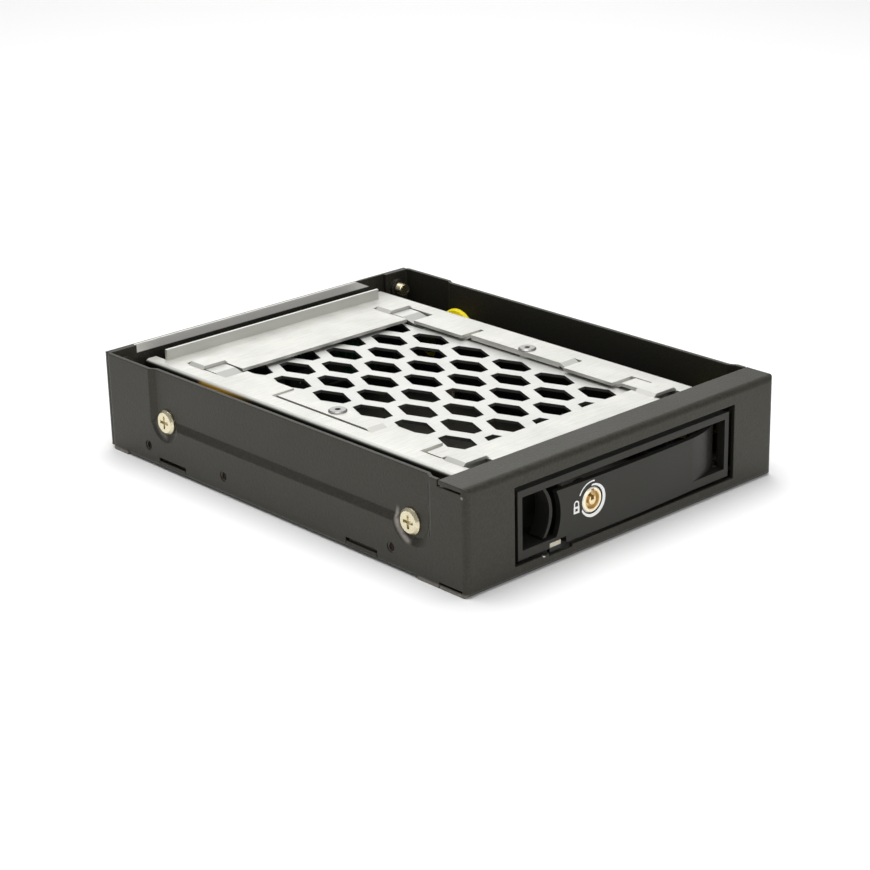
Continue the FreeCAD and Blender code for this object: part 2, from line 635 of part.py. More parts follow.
def mid_land():
    """Land between the tabs: both ends are joggled down and lapped under them."""
    front, rear = MID_LAND
    rise = front + LAND_FRONT_RAMP
    fall = rear - LAND_RAMP
    return land_profile([(front - LAND_LAP, VENT_TOP), (front, VENT_TOP), (rise, LAND_UNDER),
                         (fall, LAND_UNDER), (rear, VENT_TOP), (rear + LAND_LAP, VENT_TOP),
                         (rear + LAND_LAP, CAGE_UNDER), (rear, CAGE_UNDER), (fall, LAND_TOP),
                         (rise, LAND_TOP), (front, CAGE_UNDER), (front - LAND_LAP, CAGE_UNDER)])


def front_land():
    """Land behind the front hook: it falls from the hook and laps under the tab behind it."""
    front, rear = FRONT_LAND
    knee = front - HOOK_RAMP
    fall = rear - LAND_RAMP
    return land_profile([(knee, CAGE_UNDER + HOOK_RISE), (front, CAGE_UNDER), (fall, CAGE_UNDER),
                         (rear, VENT_TOP), (rear + LAND_LAP, VENT_TOP), (rear + LAND_LAP, CAGE_UNDER),
                         (rear, CAGE_UNDER), (fall, CAGE_TOP), (front, CAGE_TOP),
                         (knee, CAGE_TOP + HOOK_RISE)])


def land_gap(front, rear):
    """Space in the strip that a land replaces."""
    return block(CAGE_WINDOW_HALF - MARGIN, LAND_EDGE, front, rear, CAGE_UNDER - MARGIN, CAGE_TOP + MARGIN)


def hook_bridge(front, rear):
    """Raised bridge of the right strip, open in front, with ramps down to the strip at both sides."""
    low = HOOK_INNER - HOOK_FOOT
    high = HOOK_OUTER + HOOK_FOOT
    knees = (HOOK_INNER + HOOK_FOOT, HOOK_OUTER - HOOK_FOOT)
    lift = CAGE_UNDER + HOOK_RISE
    top = CAGE_TOP + HOOK_RISE
    outline = [(low, CAGE_UNDER), (knees[0], lift), (knees[1], lift), (high, CAGE_UNDER), (high, CAGE_TOP),
               (knees[1], top), (knees[0], top), (low, CAGE_TOP)]
    return prism([V(x, front, z) for x, z in outline], Y_AXIS * (rear - front))


def rear_hook():
    """Hook lance over the vent plate's tongue, rooted in the rear strip."""
    root = REAR_HOOK_MOUTH + HOOK_LENGTH
    knee = root - HOOK_RAMP
    points = [(knee, CAGE_UNDER + HOOK_RISE), (root, CAGE_UNDER), (root, CAGE_TOP),
              (knee, CAGE_TOP + HOOK_RISE)]
    outline = [V(HOOK_INNER + HOOK_FOOT, depth, z) for depth, z in points]
    ramp = prism(outline, X_AXIS * (HOOK_WIDTH - 2 * HOOK_FOOT))
    return fuse_all([hook_bridge(REAR_HOOK_MOUTH, knee), ramp])


def front_hook():
    """Hook lance that opens towards the door, with its land behind."""
    return fuse_all([hook_bridge(FRONT_HOOK_MOUTH, CAGE_WINDOW_FRONT - HOOK_RAMP), front_land()])


def cage_channel():
    """Top sheet and side walls of the cage, bent from one sheet."""
    outer = block(-CAGE_HALF, CAGE_HALF, CAGE_FRONT, CAGE_REAR, CAGE_BOTTOM, CAGE_TOP)
    bends = [e for e in outer.Edges
             if abs(e.CenterOfMass.z - CAGE_TOP) < 0.01 and abs(e.tangentAt(e.FirstParameter).y) > 0.9]
    inner = block(-CAGE_WALL_INNER, CAGE_WALL_INNER, CAGE_FRONT - MARGIN, CAGE_REAR + MARGIN,
                  CAGE_BOTTOM - MARGIN, CAGE_UNDER)
    front_trim = block(-CAGE_HALF - MARGIN, CAGE_HALF + MARGIN, CAGE_FRONT - MARGIN, CAGE_WALL_FRONT,
                       CAGE_BOTTOM - MARGIN, CAGE_UNDER)
    rear_trim = block(LIP_LEFT, LIP_RIGHT, LIP_REAR, CAGE_REAR + MARGIN, CAGE_UNDER - MARGIN,
                      CAGE_TOP + MARGIN)
    return cut_all(outer.makeFillet(CAGE_BEND_RADIUS, bends), [inner, front_trim, rear_trim])


def drive_cage():
    """Bare-steel cage: top frame with lands, hooks and rear lip, side walls with feet."""
    window = block(-CAGE_WINDOW_HALF, CAGE_WINDOW_HALF, CAGE_WINDOW_FRONT, CAGE_WINDOW_REAR,
                   CAGE_UNDER - MARGIN, CAGE_TOP + MARGIN)
    rear_lance = block(HOOK_INNER, HOOK_OUTER, TAB_END, REAR_HOOK_MOUTH + HOOK_LENGTH,
                       CAGE_UNDER - MARGIN, CAGE_TOP + MARGIN)
    front_lance = block(HOOK_INNER, HOOK_OUTER, FRONT_HOOK_MOUTH - FRONT_HOOK_SLOT,
                        CAGE_WINDOW_FRONT + MARGIN,
                        CAGE_UNDER - MARGIN, CAGE_TOP + MARGIN)
    gaps = [rear_lance, front_lance, land_gap(*MID_LAND), land_gap(*FRONT_LAND)]
    channel = cut_all(cage_channel(), [window] + gaps + [mirrored(g) for g in gaps])
    lip = block(LIP_LEFT, LIP_RIGHT, LIP_REAR - CAGE_SHEET, LIP_REAR, CAGE_UNDER, LIP_TOP)
    foot = block(CAGE_WALL_INNER - CAGE_FOOT_WIDTH, CAGE_HALF, CAGE_WALL_FRONT, CAGE_REAR,
                 CAGE_BOTTOM, CAGE_BOTTOM + CAGE_SHEET)
    side = [foot, mid_land(), rear_hook(), front_hook()]
    cage = fuse_all([channel, lip] + side + [mirrored(s) for s in side])
    holes = [rod(BUSH_GROOVE_RADIUS + BUSH_GAP, V(CAGE_WALL_INNER - MARGIN, depth, CAGE_SCREW_HEIGHT),
                 X_AXIS,
                 CAGE_SHEET + 2 * MARGIN) for depth in CAGE_SCREW_DEPTHS]
    holes.append(rod(RIVET_SHANK_RADIUS + THREAD_GAP, V(RIVET_X, RIVET_DEPTH, LAND_UNDER - MARGIN), Z_AXIS,
                     CAGE_SHEET + 2 * MARGIN))
    return cut_all(cage, holes + [mirrored(h) for h in holes])


def hexagon(x, y):
    """Stretched hexagonal punch of the vent pattern."""
    corners = [(HEX_HALF_WIDTH, 0), (HEX_HALF_FLAT, HEX_HALF_LENGTH), (-HEX_HALF_FLAT, HEX_HALF_LENGTH),
               (-HEX_HALF_WIDTH, 0), (-HEX_HALF_FLAT, -HEX_HALF_LENGTH), (HEX_HALF_FLAT, -HEX_HALF_LENGTH)]
    points = [V(x + dx, y + dy, VENT_UNDER - MARGIN) for dx, dy in corners]
    return prism(points, Z_AXIS * (CAGE_SHEET + 2 * MARGIN))


def vent_tongue():
    """Right rear tongue, raised to enter the hook lance."""
    inner = HOOK_INNER + 2 * HOOK_SHEAR_GAP
    reach = REAR_HOOK_MOUTH + TONGUE_REACH
    ramp_end = TONGUE_ROOT + TONGUE_RAMP
    points = [(TONGUE_ROOT, VENT_UNDER), (ramp_end, VENT_UNDER + TONGUE_RISE),
              (reach, VENT_UNDER + TONGUE_RISE),
              (reach, VENT_TOP + TONGUE_RISE), (ramp_end, VENT_TOP + TONGUE_RISE), (TONGUE_ROOT, VENT_TOP)]
    outline = [V(inner, depth, z) for depth, z in points]
    return prism(outline, X_AXIS * (HOOK_WIDTH - 4 * HOOK_SHEAR_GAP))


def vent_plate():
    """Perforated plate under the cage's window."""
    plate = block(-VENT_HALF, VENT_HALF, VENT_FRONT, VENT_REAR, VENT_UNDER, VENT_TOP)
    gap = block(HOOK_INNER + HOOK_SHEAR_GAP, VENT_HALF, TONGUE_ROOT, VENT_REAR, VENT_UNDER - MARGIN,
                VENT_TOP + MARGIN)
    plate = cut_all(plate, both_sides(gap))
    plate = fuse_all([plate] + both_sides(vent_tongue()))
    punches = []
    for column in range(HEX_COLUMNS):
        offset = column - (HEX_COLUMNS - 1) / 2
        stagger = HEX_ROW_STEP / 2 if column % 2 == 0 else 0.0
        for row in range(HEX_ROWS):
            punches.append(hexagon(HEX_CENTRE_X + offset * HEX_COLUMN_STEP,
                                   HEX_FIRST_ROW + stagger + row * HEX_ROW_STEP))
    hole = rod(RIVET_SHANK_RADIUS + THREAD_GAP, V(RIVET_X, RIVET_DEPTH, VENT_UNDER - MARGIN), Z_AXIS,
               CAGE_SHEET + 2 * MARGIN)
    return cut_all(plate, punches + both_sides(hole))


def vent_plate_rivets():
    """Two hollow rivets through the lands, their strips and the vent plate, with a collar between."""
    top = LAND_TOP
    bottom = VENT_UNDER
    shank = rod(RIVET_SHANK_RADIUS, V(RIVET_X, RIVET_DEPTH, bottom), Z_AXIS, top - bottom)
    head = rod(RIVET_HEAD_RADIUS, V(RIVET_X, RIVET_DEPTH, top), Z_AXIS, RIVET_HEAD_HEIGHT)
    rim = [e for e in head.Edges if abs(e.CenterOfMass.z - top - RIVET_HEAD_HEIGHT) < 0.01]
    head = head.makeChamfer(RIVET_HEAD_CHAMFER, rim)
    upset = rod(RIVET_HEAD_RADIUS, V(RIVET_X, RIVET_DEPTH, bottom - RIVET_HEAD_HEIGHT), Z_AXIS,
                RIVET_HEAD_HEIGHT)
    eye = rod(RIVET_EYE_RADIUS, V(RIVET_X, RIVET_DEPTH, bottom - MARGIN), Z_AXIS, top - bottom + 3 * MARGIN)
    collar = rod(RIVET_COLLAR_RADIUS, V(RIVET_X, RIVET_DEPTH, VENT_TOP), Z_AXIS,
                 RIVET_STRIP_UNDER - VENT_TOP)
    return both_sides(fuse_all([shank, head, upset, collar]).cut(eye))


def rivet_strips():
    """Two stiffening strips riveted under the mid lands."""
    front = MID_LAND[0] + LAND_FRONT_RAMP + RIVET_STRIP_GAP
    rear = MID_LAND[1] - LAND_RAMP - RIVET_STRIP_GAP
    strip = block(LAND_INNER, LAND_EDGE - LAND_SLIT, front, rear, RIVET_STRIP_UNDER, LAND_UNDER)
    hole = rod(RIVET_SHANK_RADIUS + THREAD_GAP, V(RIVET_X, RIVET_DEPTH, RIVET_STRIP_UNDER - MARGIN), Z_AXIS,
               RIVET_STRIP_SHEET + 2 * MARGIN)
    return both_sides(strip.cut(hole))


def guide_rail_right():
    """Plastic channel that carries one long edge of the drive."""
    outer = CAGE_WALL_INNER - RAIL_WALL_GAP
    inner = DRIVE_HALF - RAIL_LIP
    floor = CAGE_BOTTOM + CAGE_SHEET
    body = block(inner, outer, RAIL_FRONT, RAIL_REAR, floor, RAIL_TOP)
    slot = block(inner - MARGIN, DRIVE_HALF, RAIL_FRONT - MARGIN, RAIL_REAR + MARGIN, DRIVE_FLOOR, SLOT_TOP)
    under = block(inner - MARGIN, DRIVE_HALF, RAIL_FRONT - MARGIN, RAIL_REAR + MARGIN, floor - MARGIN,
                  DRIVE_FLOOR - RAIL_LEDGE)
    mouth = prism([V(inner - MARGIN, RAIL_FRONT, DRIVE_FLOOR - RAIL_LEAD_IN),
                   V(inner - MARGIN, RAIL_FRONT + RAIL_LEAD_IN, DRIVE_FLOOR),
                   V(inner - MARGIN, RAIL_FRONT + RAIL_LEAD_IN, SLOT_TOP),
                   V(inner - MARGIN, RAIL_FRONT, SLOT_TOP + RAIL_LEAD_IN)],
                  X_AXIS * (DRIVE_HALF - inner + MARGIN))
    pockets = [rod(BUSH_LIP_RADIUS + NUT_POCKET_GAP, V(DRIVE_HALF - MARGIN, depth, CAGE_SCREW_HEIGHT),
                   X_AXIS, outer) for depth in CAGE_SCREW_DEPTHS]
    return cut_all(body, [slot, under, mouth] + pockets)


def rubber_bush(depth):
    """Right-hand bush: flange at the wall, neck, groove in the cage wall and inner lip."""
    wall = RECESS_INNER - BUSH_GAP
    steps = [(wall, wall - BUSH_FLANGE_LENGTH, BUSH_FLANGE_RADIUS),
             (wall - BUSH_FLANGE_LENGTH, CAGE_HALF + BUSH_GAP, BUSH_NECK_RADIUS),
             (CAGE_HALF + BUSH_GAP, CAGE_WALL_INNER - BUSH_GAP, BUSH_GROOVE_RADIUS),
             (CAGE_WALL_INNER - BUSH_GAP, CAGE_WALL_INNER - BUSH_GAP - BUSH_LIP_LENGTH, BUSH_LIP_RADIUS)]
    bore = M3_RADIUS + THREAD_GAP
    first = steps[0][0]
    points = [V(first, depth, CAGE_SCREW_HEIGHT + bore)]
    for start, end, radius in steps:
        points.append(V(start, depth, CAGE_SCREW_HEIGHT + radius))
        points.append(V(end, depth, CAGE_SCREW_HEIGHT + radius))
    points.append(V(steps[-1][1], depth, CAGE_SCREW_HEIGHT + bore))
    profile = Part.Face(Part.makePolygon(points + [points[0]]))
    bush = profile.revolve(V(0, depth, CAGE_SCREW_HEIGHT), X_AXIS, 360)
    rim = [e for e in bush.Edges if isinstance(e.Curve, Part.Circle)
           and abs(e.Curve.Radius - BUSH_FLANGE_RADIUS) < 0.01]
    return bush.makeChamfer(BUSH_FLANGE_CHAMFER, rim)


def rubber_bushes():
    """Four bushes, two a side."""
    right = [rubber_bush(depth) for depth in CAGE_SCREW_DEPTHS]
    return right + [mirrored(b) for b in right]


def nut_start():
    """Distance of a nut's outer face from the middle plane."""
    return CAGE_WALL_INNER - 2 * BUSH_GAP - BUSH_LIP_LENGTH


def cage_screw(depth):
    """Right-hand cage screw with a domed, cross-recessed head in the recess."""
    centre = V(RECESS_FLOOR, depth, CAGE_SCREW_HEIGHT)
    head = rod(SIDE_HEAD_RADIUS, centre, X_AXIS, SIDE_HEAD_HEIGHT)
    rim = [e for e in head.Edges if abs(e.CenterOfMass.x - RECESS_FLOOR - SIDE_HEAD_HEIGHT) < 0.01]
    head = head.makeChamfer(SIDE_HEAD_CHAMFER, rim)
    reach = RECESS_FLOOR - nut_start() + NUT_HEIGHT
    shank = rod(M3_RADIUS, centre, -X_AXIS, reach)
    face = RECESS_FLOOR + SIDE_HEAD_HEIGHT
    arms = [block(face - CROSS_DEPTH, face + MARGIN, depth - w / 2, depth + w / 2,
                  CAGE_SCREW_HEIGHT - h / 2, CAGE_SCREW_HEIGHT + h / 2)
            for w, h in ((CROSS_WIDTH, CROSS_LENGTH), (CROSS_LENGTH, CROSS_WIDTH))]
    return cut_all(fuse_all([head, shank]), arms)


def cage_screws():
    """Four side screws."""
    right = [cage_screw(depth) for depth in CAGE_SCREW_DEPTHS]
    return right + [mirrored(s) for s in right]


def cage_nut(depth):
    """Right-hand nut on a cage screw."""
    start = nut_start()
    corner = NUT_FLATS / math.sqrt(3)
    points = [V(start, depth + corner * math.cos(math.radians(60 * k)),
                CAGE_SCREW_HEIGHT + corner * math.sin(math.radians(60 * k))) for k in range(6)]
    body = prism(points, -X_AXIS * NUT_HEIGHT)
    bore = rod(M3_RADIUS + THREAD_GAP, V(start + MARGIN, depth, CAGE_SCREW_HEIGHT), -X_AXIS,
               NUT_HEIGHT + 2 * MARGIN)
    return body.cut(bore)


def cage_nuts():
    """Four nuts, one for each cage screw."""
    right = [cage_nut(depth) for depth in CAGE_SCREW_DEPTHS]
    return right + [mirrored(n) for n in right]


def backplane_board():
    """Upright circuit board across the rear of the drive slot."""
    board = block(-BOARD_HALF, BOARD_HALF, BOARD_FRONT, BOARD_REAR, BOARD_BOTTOM, BOARD_TOP)
    hole = rod(M3_RADIUS + CLEAR_HOLE_GAP, V(STANDOFF_X, BOARD_FRONT - MARGIN, STANDOFF_HEIGHT), Y_AXIS,
               BOARD_SHEET + 2 * MARGIN)
    return cut_all(board, both_sides(hole))


def board_standoffs():
    """Two threaded spacers between board and rear sheet."""
    post = rod(STANDOFF_RADIUS, V(STANDOFF_X, BOARD_REAR, STANDOFF_HEIGHT), Y_AXIS, BACK_FRONT - BOARD_REAR)
    bore = rod(M3_RADIUS + THREAD_GAP, V(STANDOFF_X, BOARD_REAR - MARGIN, STANDOFF_HEIGHT), Y_AXIS,
               BACK_REAR)
    return both_sides(post.cut(bore))


def board_screws():
    """Screws into both ends of the spacers."""
    reach = BOARD_SHEET + (BACK_FRONT - BOARD_REAR) / 3
    front = low_screw(STANDOFF_X, STANDOFF_HEIGHT, BOARD_FRONT, -1, reach)
    rear = low_screw(STANDOFF_X, STANDOFF_HEIGHT, BACK_REAR, 1, reach)
    return both_sides(front) + both_sides(rear)


def drive_connector():
    """Receptacle that the drive plugs into."""
    front = SOCKET_FRONT
    body = block(DRIVE_SOCKET_LEFT, DRIVE_SOCKET_RIGHT, front, BOARD_FRONT, SOCKET_BOTTOM, SOCKET_TOP)
    middle = (SOCKET_BOTTOM + SOCKET_TOP) / 2
    low = middle - KEYWAY_HEIGHT / 2
    keyways = []
    for left, right in (POWER_KEYWAY, DATA_KEYWAY):
        keyways.append(block(left, right, front - MARGIN, front + KEYWAY_DEPTH, low, low + KEYWAY_HEIGHT))
        keyways.append(block(right - KEYWAY_HEIGHT, right, front - MARGIN, front + KEYWAY_DEPTH,
                             low, low + 2 * KEYWAY_HEIGHT))
    return cut_all(body, keyways)


def rear_plug(left, right):
    """Shrouded plug on the board's rear face with its keyed tongue."""
    shroud = block(left, right, BOARD_REAR, BACK_REAR, PLUG_BOTTOM, PLUG_TOP)
    hollow = block(left + PLUG_WALL, right - PLUG_WALL, BOARD_REAR + PLUG_FLOOR, BACK_REAR + MARGIN,
                   PLUG_BOTTOM + PLUG_WALL, PLUG_TOP - PLUG_WALL)
    middle = (PLUG_BOTTOM + PLUG_TOP) / 2
    tongue_left = left + 2 * PLUG_WALL
    tongue_right = right - 2 * PLUG_WALL
    tongue = block(tongue_left, tongue_right, BOARD_REAR + PLUG_FLOOR / 2, BACK_REAR - PLUG_TONGUE,
                   middle - PLUG_TONGUE / 2, middle + PLUG_TONGUE / 2)
    key = block(tongue_left, tongue_left + PLUG_TONGUE, BOARD_REAR + PLUG_FLOOR / 2,
                BACK_REAR - PLUG_TONGUE,
                middle - 1.5 * PLUG_TONGUE, middle + PLUG_TONGUE / 2)
    return fuse_all([shroud.cut(hollow), tongue, key])


def hinge_bracket():
    """Folded bracket behind the front plate that carries the hinge pin."""
    low = BRACKET_LOW
    high = BRACKET_HIGH
    web_left = HINGE_X + KNUCKLE_RADIUS + BRACKET_WEB_GAP
    web_right = web_left + BRACKET_SHEET
    web = block(web_left, web_right, SHEET, BRACKET_DEPTH, low, high)
    foot = block(web_left, web_right + BRACKET_FOOT, SHEET, SHEET + BRACKET_SHEET, LOWER_ARM[0],
                 UPPER_ARM[1])
    ears = [block(HINGE_X - BRACKET_EAR, web_right, SHEET + BRACKET_SHEET / 2, BRACKET_DEPTH, z,
                  z + BRACKET_SHEET)
            for z in (low, high - BRACKET_SHEET)]
    hole = rod(HINGE_PIN_RADIUS + HINGE_RUN_GAP, V(HINGE_X, HINGE_DEPTH, low - MARGIN), Z_AXIS, HEIGHT)
    return fuse_all([web, foot] + ears).cut(hole)


def hinge_pin():
    """Steel pin through both ears and both arms."""
    low = BRACKET_LOW
    high = BRACKET_HIGH
    shank = rod(HINGE_PIN_RADIUS, V(HINGE_X, HINGE_DEPTH, low), Z_AXIS, high - low)
    head = rod(2 * HINGE_PIN_RADIUS, V(HINGE_X, HINGE_DEPTH, high), Z_AXIS, HINGE_PIN_RADIUS)
    return fuse_all([shank, head])


def sector(inner, outer, start, end, z0, z1):
    """Ring sector about the hinge axis."""
    middle = (start + end) / 2
    edges = [Part.Arc(polar(outer, start, z0), polar(outer, middle, z0), polar(outer, end, z0)).toShape(),
             Part.makeLine(polar(outer, end, z0), polar(inner, end, z0)),
             Part.Arc(polar(inner, end, z0), polar(inner, middle, z0), polar(inner, start, z0)).toShape(),
             Part.makeLine(polar(inner, start, z0), polar(outer, start, z0))]
    return Part.Face(Part.Wire(edges)).extrude(Z_AXIS * (z1 - z0))


def hinge_arm(z0, z1):
    """Goose-neck arm: knuckle, spoke to the rear and a curved neck to the door."""
    knuckle = rod(KNUCKLE_RADIUS, V(HINGE_X, HINGE_DEPTH, z0), Z_AXIS, z1 - z0)
    spoke = sector(KNUCKLE_RADIUS / 2, ARM_OUTER_RADIUS, ARM_START_ANGLE,
                   ARM_START_ANGLE + ARM_SPOKE_ANGLE, z0, z1)
    neck = sector(SWEEP_CLEAR_RADIUS, ARM_OUTER_RADIUS, ARM_START_ANGLE, ARM_END_ANGLE, z0, z1)
    return fuse_all([knuckle, spoke, neck])


def panel_plan(offset):
    """Plan points of the bowed panel's face, moved back by an offset."""
    middle = (PANEL_LEFT + PANEL_CURL_START) / 2
    return (V(PANEL_LEFT, DOOR_FACE + offset, 0), V(middle, DOOR_FACE - PANEL_BOW + offset, 0),
            V(PANEL_CURL_START, DOOR_FACE + offset, 0), V(PANEL_RIGHT, PANEL_CURL_DEPTH + offset, 0))


def bowed_panel():
    """Door panel with a bowed face that curls back at its right end."""
    left, middle, curl, end = panel_plan(0.0)
    left_in, middle_in, curl_in, end_in = panel_plan(PANEL_WALL)
    bend = V((curl.x + end.x) / 2, curl.y + (end.y - curl.y) * 0.32, 0)
    bend_in = bend + V(0, PANEL_WALL, 0)
    edges = [Part.Arc(left, middle, curl).toShape(), Part.Arc(curl, bend, end).toShape(),
             Part.makeLine(end, end_in), Part.Arc(end_in, bend_in, curl_in).toShape(),
             Part.Arc(curl_in, middle_in, left_in).toShape(), Part.makeLine(left_in, left)]
    wire = Part.Wire(edges)
    wire.translate(V(0, 0, DOOR_BOTTOM))
    panel = Part.Face(wire).extrude(Z_AXIS * (PANEL_TOP - DOOR_BOTTOM))
    half = (PANEL_TOP - DOOR_INNER_BOTTOM) / 2
    radius = (half * half + SCALLOP_RISE * SCALLOP_RISE) / (2 * SCALLOP_RISE)
    centre = V(PANEL_LEFT + SCALLOP_RISE - radius, DOOR_FACE - MARGIN, DOOR_INNER_BOTTOM + half)
    return panel.cut(rod(radius, centre, Y_AXIS, PANEL_WALL + 2 * MARGIN))


def finger_well():
    """Cup behind the finger opening, with a slot for the catch's stem."""
    rear = DOOR_REAR + WELL_DEPTH
    cup = block(-DOOR_INNER_HALF - WELL_WALL, WELL_RIGHT + WELL_WALL, DOOR_REAR - WELL_WALL, rear,
                DOOR_INNER_BOTTOM - WELL_WALL, DOOR_INNER_TOP + WELL_WALL)
    hollow = block(-DOOR_INNER_HALF, WELL_RIGHT, DOOR_FACE, rear - WELL_WALL, DOOR_INNER_BOTTOM,
                   DOOR_INNER_TOP)
    stem_low = LOCK_HEIGHT - STEM_HEIGHT / 2 - STEM_GAP
    slot = block(WELL_RIGHT - MARGIN, WELL_RIGHT + WELL_WALL + MARGIN, STEM_FRONT - STEM_GAP,
                 STEM_REAR + STEM_GAP,
                 stem_low, stem_low + STEM_HEIGHT + 2 * STEM_GAP)
    return cut_all(cup, [hollow, slot])


def door_front():
    """Door moulding: frame, bowed panel, finger well, lock boss, hinge arms and ejector nub."""
    frame = block(-DOOR_HALF, DOOR_HALF, DOOR_FACE, DOOR_REAR, DOOR_BOTTOM, DOOR_TOP)
    opening = block(-DOOR_INNER_HALF, DOOR_INNER_HALF, DOOR_FACE - MARGIN, DOOR_REAR + MARGIN,
                    DOOR_INNER_BOTTOM, DOOR_INNER_TOP)
    boss = rod(BOSS_RADIUS, V(LOCK_X, DOOR_FACE + PANEL_WALL / 2, LOCK_HEIGHT), Y_AXIS,
               BOSS_END - DOOR_FACE - PANEL_WALL / 2)
    door = fuse_all([frame.cut(opening), bowed_panel(), boss, finger_well()])
    sweep = rod(SWEEP_CLEAR_RADIUS, V(HINGE_X, HINGE_DEPTH, -MARGIN), Z_AXIS, HEIGHT + 2 * MARGIN)
    door = door.cut(sweep)
    nub_place = polar(NUB_ORBIT, NUB_ANGLE, LOWER_ARM[0])
    nub = rod(NUB_RADIUS, nub_place, Z_AXIS, EJECTOR_TOP - LOWER_ARM[0])
    door = fuse_all([door, hinge_arm(*LOWER_ARM), hinge_arm(*UPPER_ARM), nub])
    tools = [rod(BARREL_RADIUS + LOCK_RUN_GAP, V(LOCK_X, -MARGIN, LOCK_HEIGHT), Y_AXIS,
                 BOSS_END + 2 * MARGIN),
             rod(HINGE_PIN_RADIUS + HINGE_RUN_GAP, V(HINGE_X, HINGE_DEPTH, 0), Z_AXIS, HEIGHT),
             block(CATCH_SLOT_LEFT, CATCH_SLOT_LEFT + CATCH_SLOT_WIDTH, -MARGIN, DOOR_REAR + MARGIN,
                   DOOR_BOTTOM - MARGIN, DOOR_BOTTOM + CATCH_SLOT_HEIGHT)]
    return cut_all(door, tools)


def lock_barrel():
    """Brass barrel with a keyhole recess and a square tail for the cam."""
    barrel = rod(BARREL_RADIUS, V(LOCK_X, BARREL_FACE, LOCK_HEIGHT), Y_AXIS, BOSS_END - BARREL_FACE)
    rim = [e for e in barrel.Edges if abs(e.CenterOfMass.y - BARREL_FACE) < 0.01]
    barrel = barrel.makeChamfer(BARREL_RADIUS / 10, rim)
    tail_end = BOSS_END + CAM_SHEET + CLIP_SHEET
    tail = block(LOCK_X - TAIL_HALF, LOCK_X + TAIL_HALF, BOSS_END, tail_end,
                 LOCK_HEIGHT - TAIL_HALF, LOCK_HEIGHT + TAIL_HALF)
    recess = rod(KEY_RECESS_RADIUS, V(LOCK_X, BARREL_FACE - MARGIN, LOCK_HEIGHT), Y_AXIS,
                 KEY_RECESS_DEPTH + MARGIN)
    core = rod(KEY_RECESS_RADIUS / 2, V(LOCK_X, BARREL_FACE - MARGIN, LOCK_HEIGHT), Y_AXIS, BOSS_END)
    slot_top = LOCK_HEIGHT + KEY_RECESS_RADIUS + KEY_SLOT_WIDTH / 2
    slot = block(LOCK_X - KEY_SLOT_WIDTH / 2, LOCK_X + KEY_SLOT_WIDTH / 2, BARREL_FACE - MARGIN,
                 BARREL_FACE + KEY_SLOT_DEPTH, LOCK_HEIGHT, slot_top)
    return cut_all(fuse_all([barrel, tail]), [recess.cut(core), slot])


def lock_cam():
    """Flat cam that turns up behind the front plate."""
    hub = rod(CAM_HUB_RADIUS, V(LOCK_X, BOSS_END, LOCK_HEIGHT), Y_AXIS, CAM_SHEET)
    end = LOCK_X + CAM_REACH - CAM_WIDTH / 2
    arm = block(LOCK_X, end, BOSS_END, BOSS_END + CAM_SHEET, LOCK_HEIGHT - CAM_WIDTH / 2,
                LOCK_HEIGHT + CAM_WIDTH / 2)
    tip = rod(CAM_WIDTH / 2, V(end, BOSS_END, LOCK_HEIGHT), Y_AXIS, CAM_SHEET)
    half = TAIL_HALF + LOCK_RUN_GAP
    hole = block(LOCK_X - half, LOCK_X + half, BOSS_END - MARGIN, BOSS_END + CAM_SHEET + MARGIN,
                 LOCK_HEIGHT - half, LOCK_HEIGHT + half)
    return fuse_all([hub, arm, tip]).cut(hole)


def lock_clip():
    """Push-on clip that holds the cam on the barrel's tail."""
    start = BOSS_END + CAM_SHEET
    disc = rod(CLIP_RADIUS, V(LOCK_X, start, LOCK_HEIGHT), Y_AXIS, CLIP_SHEET)
    half = TAIL_HALF + LOCK_RUN_GAP
    hole = block(LOCK_X - half, LOCK_X + half, start - MARGIN, start + CLIP_SHEET + MARGIN,
                 LOCK_HEIGHT - half, LOCK_HEIGHT + half)
    return disc.cut(hole)


def arc_strip(end_x, mid_x, low, high, wall, y):
    """Curved strip in an upright plane, as a face."""
    middle = (low + high) / 2
    outer = [V(end_x, y, low), V(mid_x, y, middle), V(end_x, y, high)]
    inner = [p + V(-wall, 0, 0) for p in outer]
    edges = [Part.Arc(outer[0], outer[1], outer[2]).toShape(), Part.makeLine(outer[2], inner[2]),
             Part.Arc(inner[2], inner[1], inner[0]).toShape(), Part.makeLine(inner[0], outer[0])]
    return Part.Face(Part.Wire(edges))


def latch_trigger():
    """Crescent blade in the finger well with its stem behind the panel."""
    face = arc_strip(BLADE_END_X, BLADE_MID_X, BLADE_BOTTOM, BLADE_TOP, BLADE_WALL, BLADE_FRONT)
    blade = face.extrude(Y_AXIS * (BLADE_DEPTH))
    low = LOCK_HEIGHT - STEM_HEIGHT / 2
    stem = block(BLADE_MID_X - BLADE_WALL / 2, STEM_RIGHT, STEM_FRONT, STEM_REAR, low, low + STEM_HEIGHT)
    return fuse_all([blade, stem])


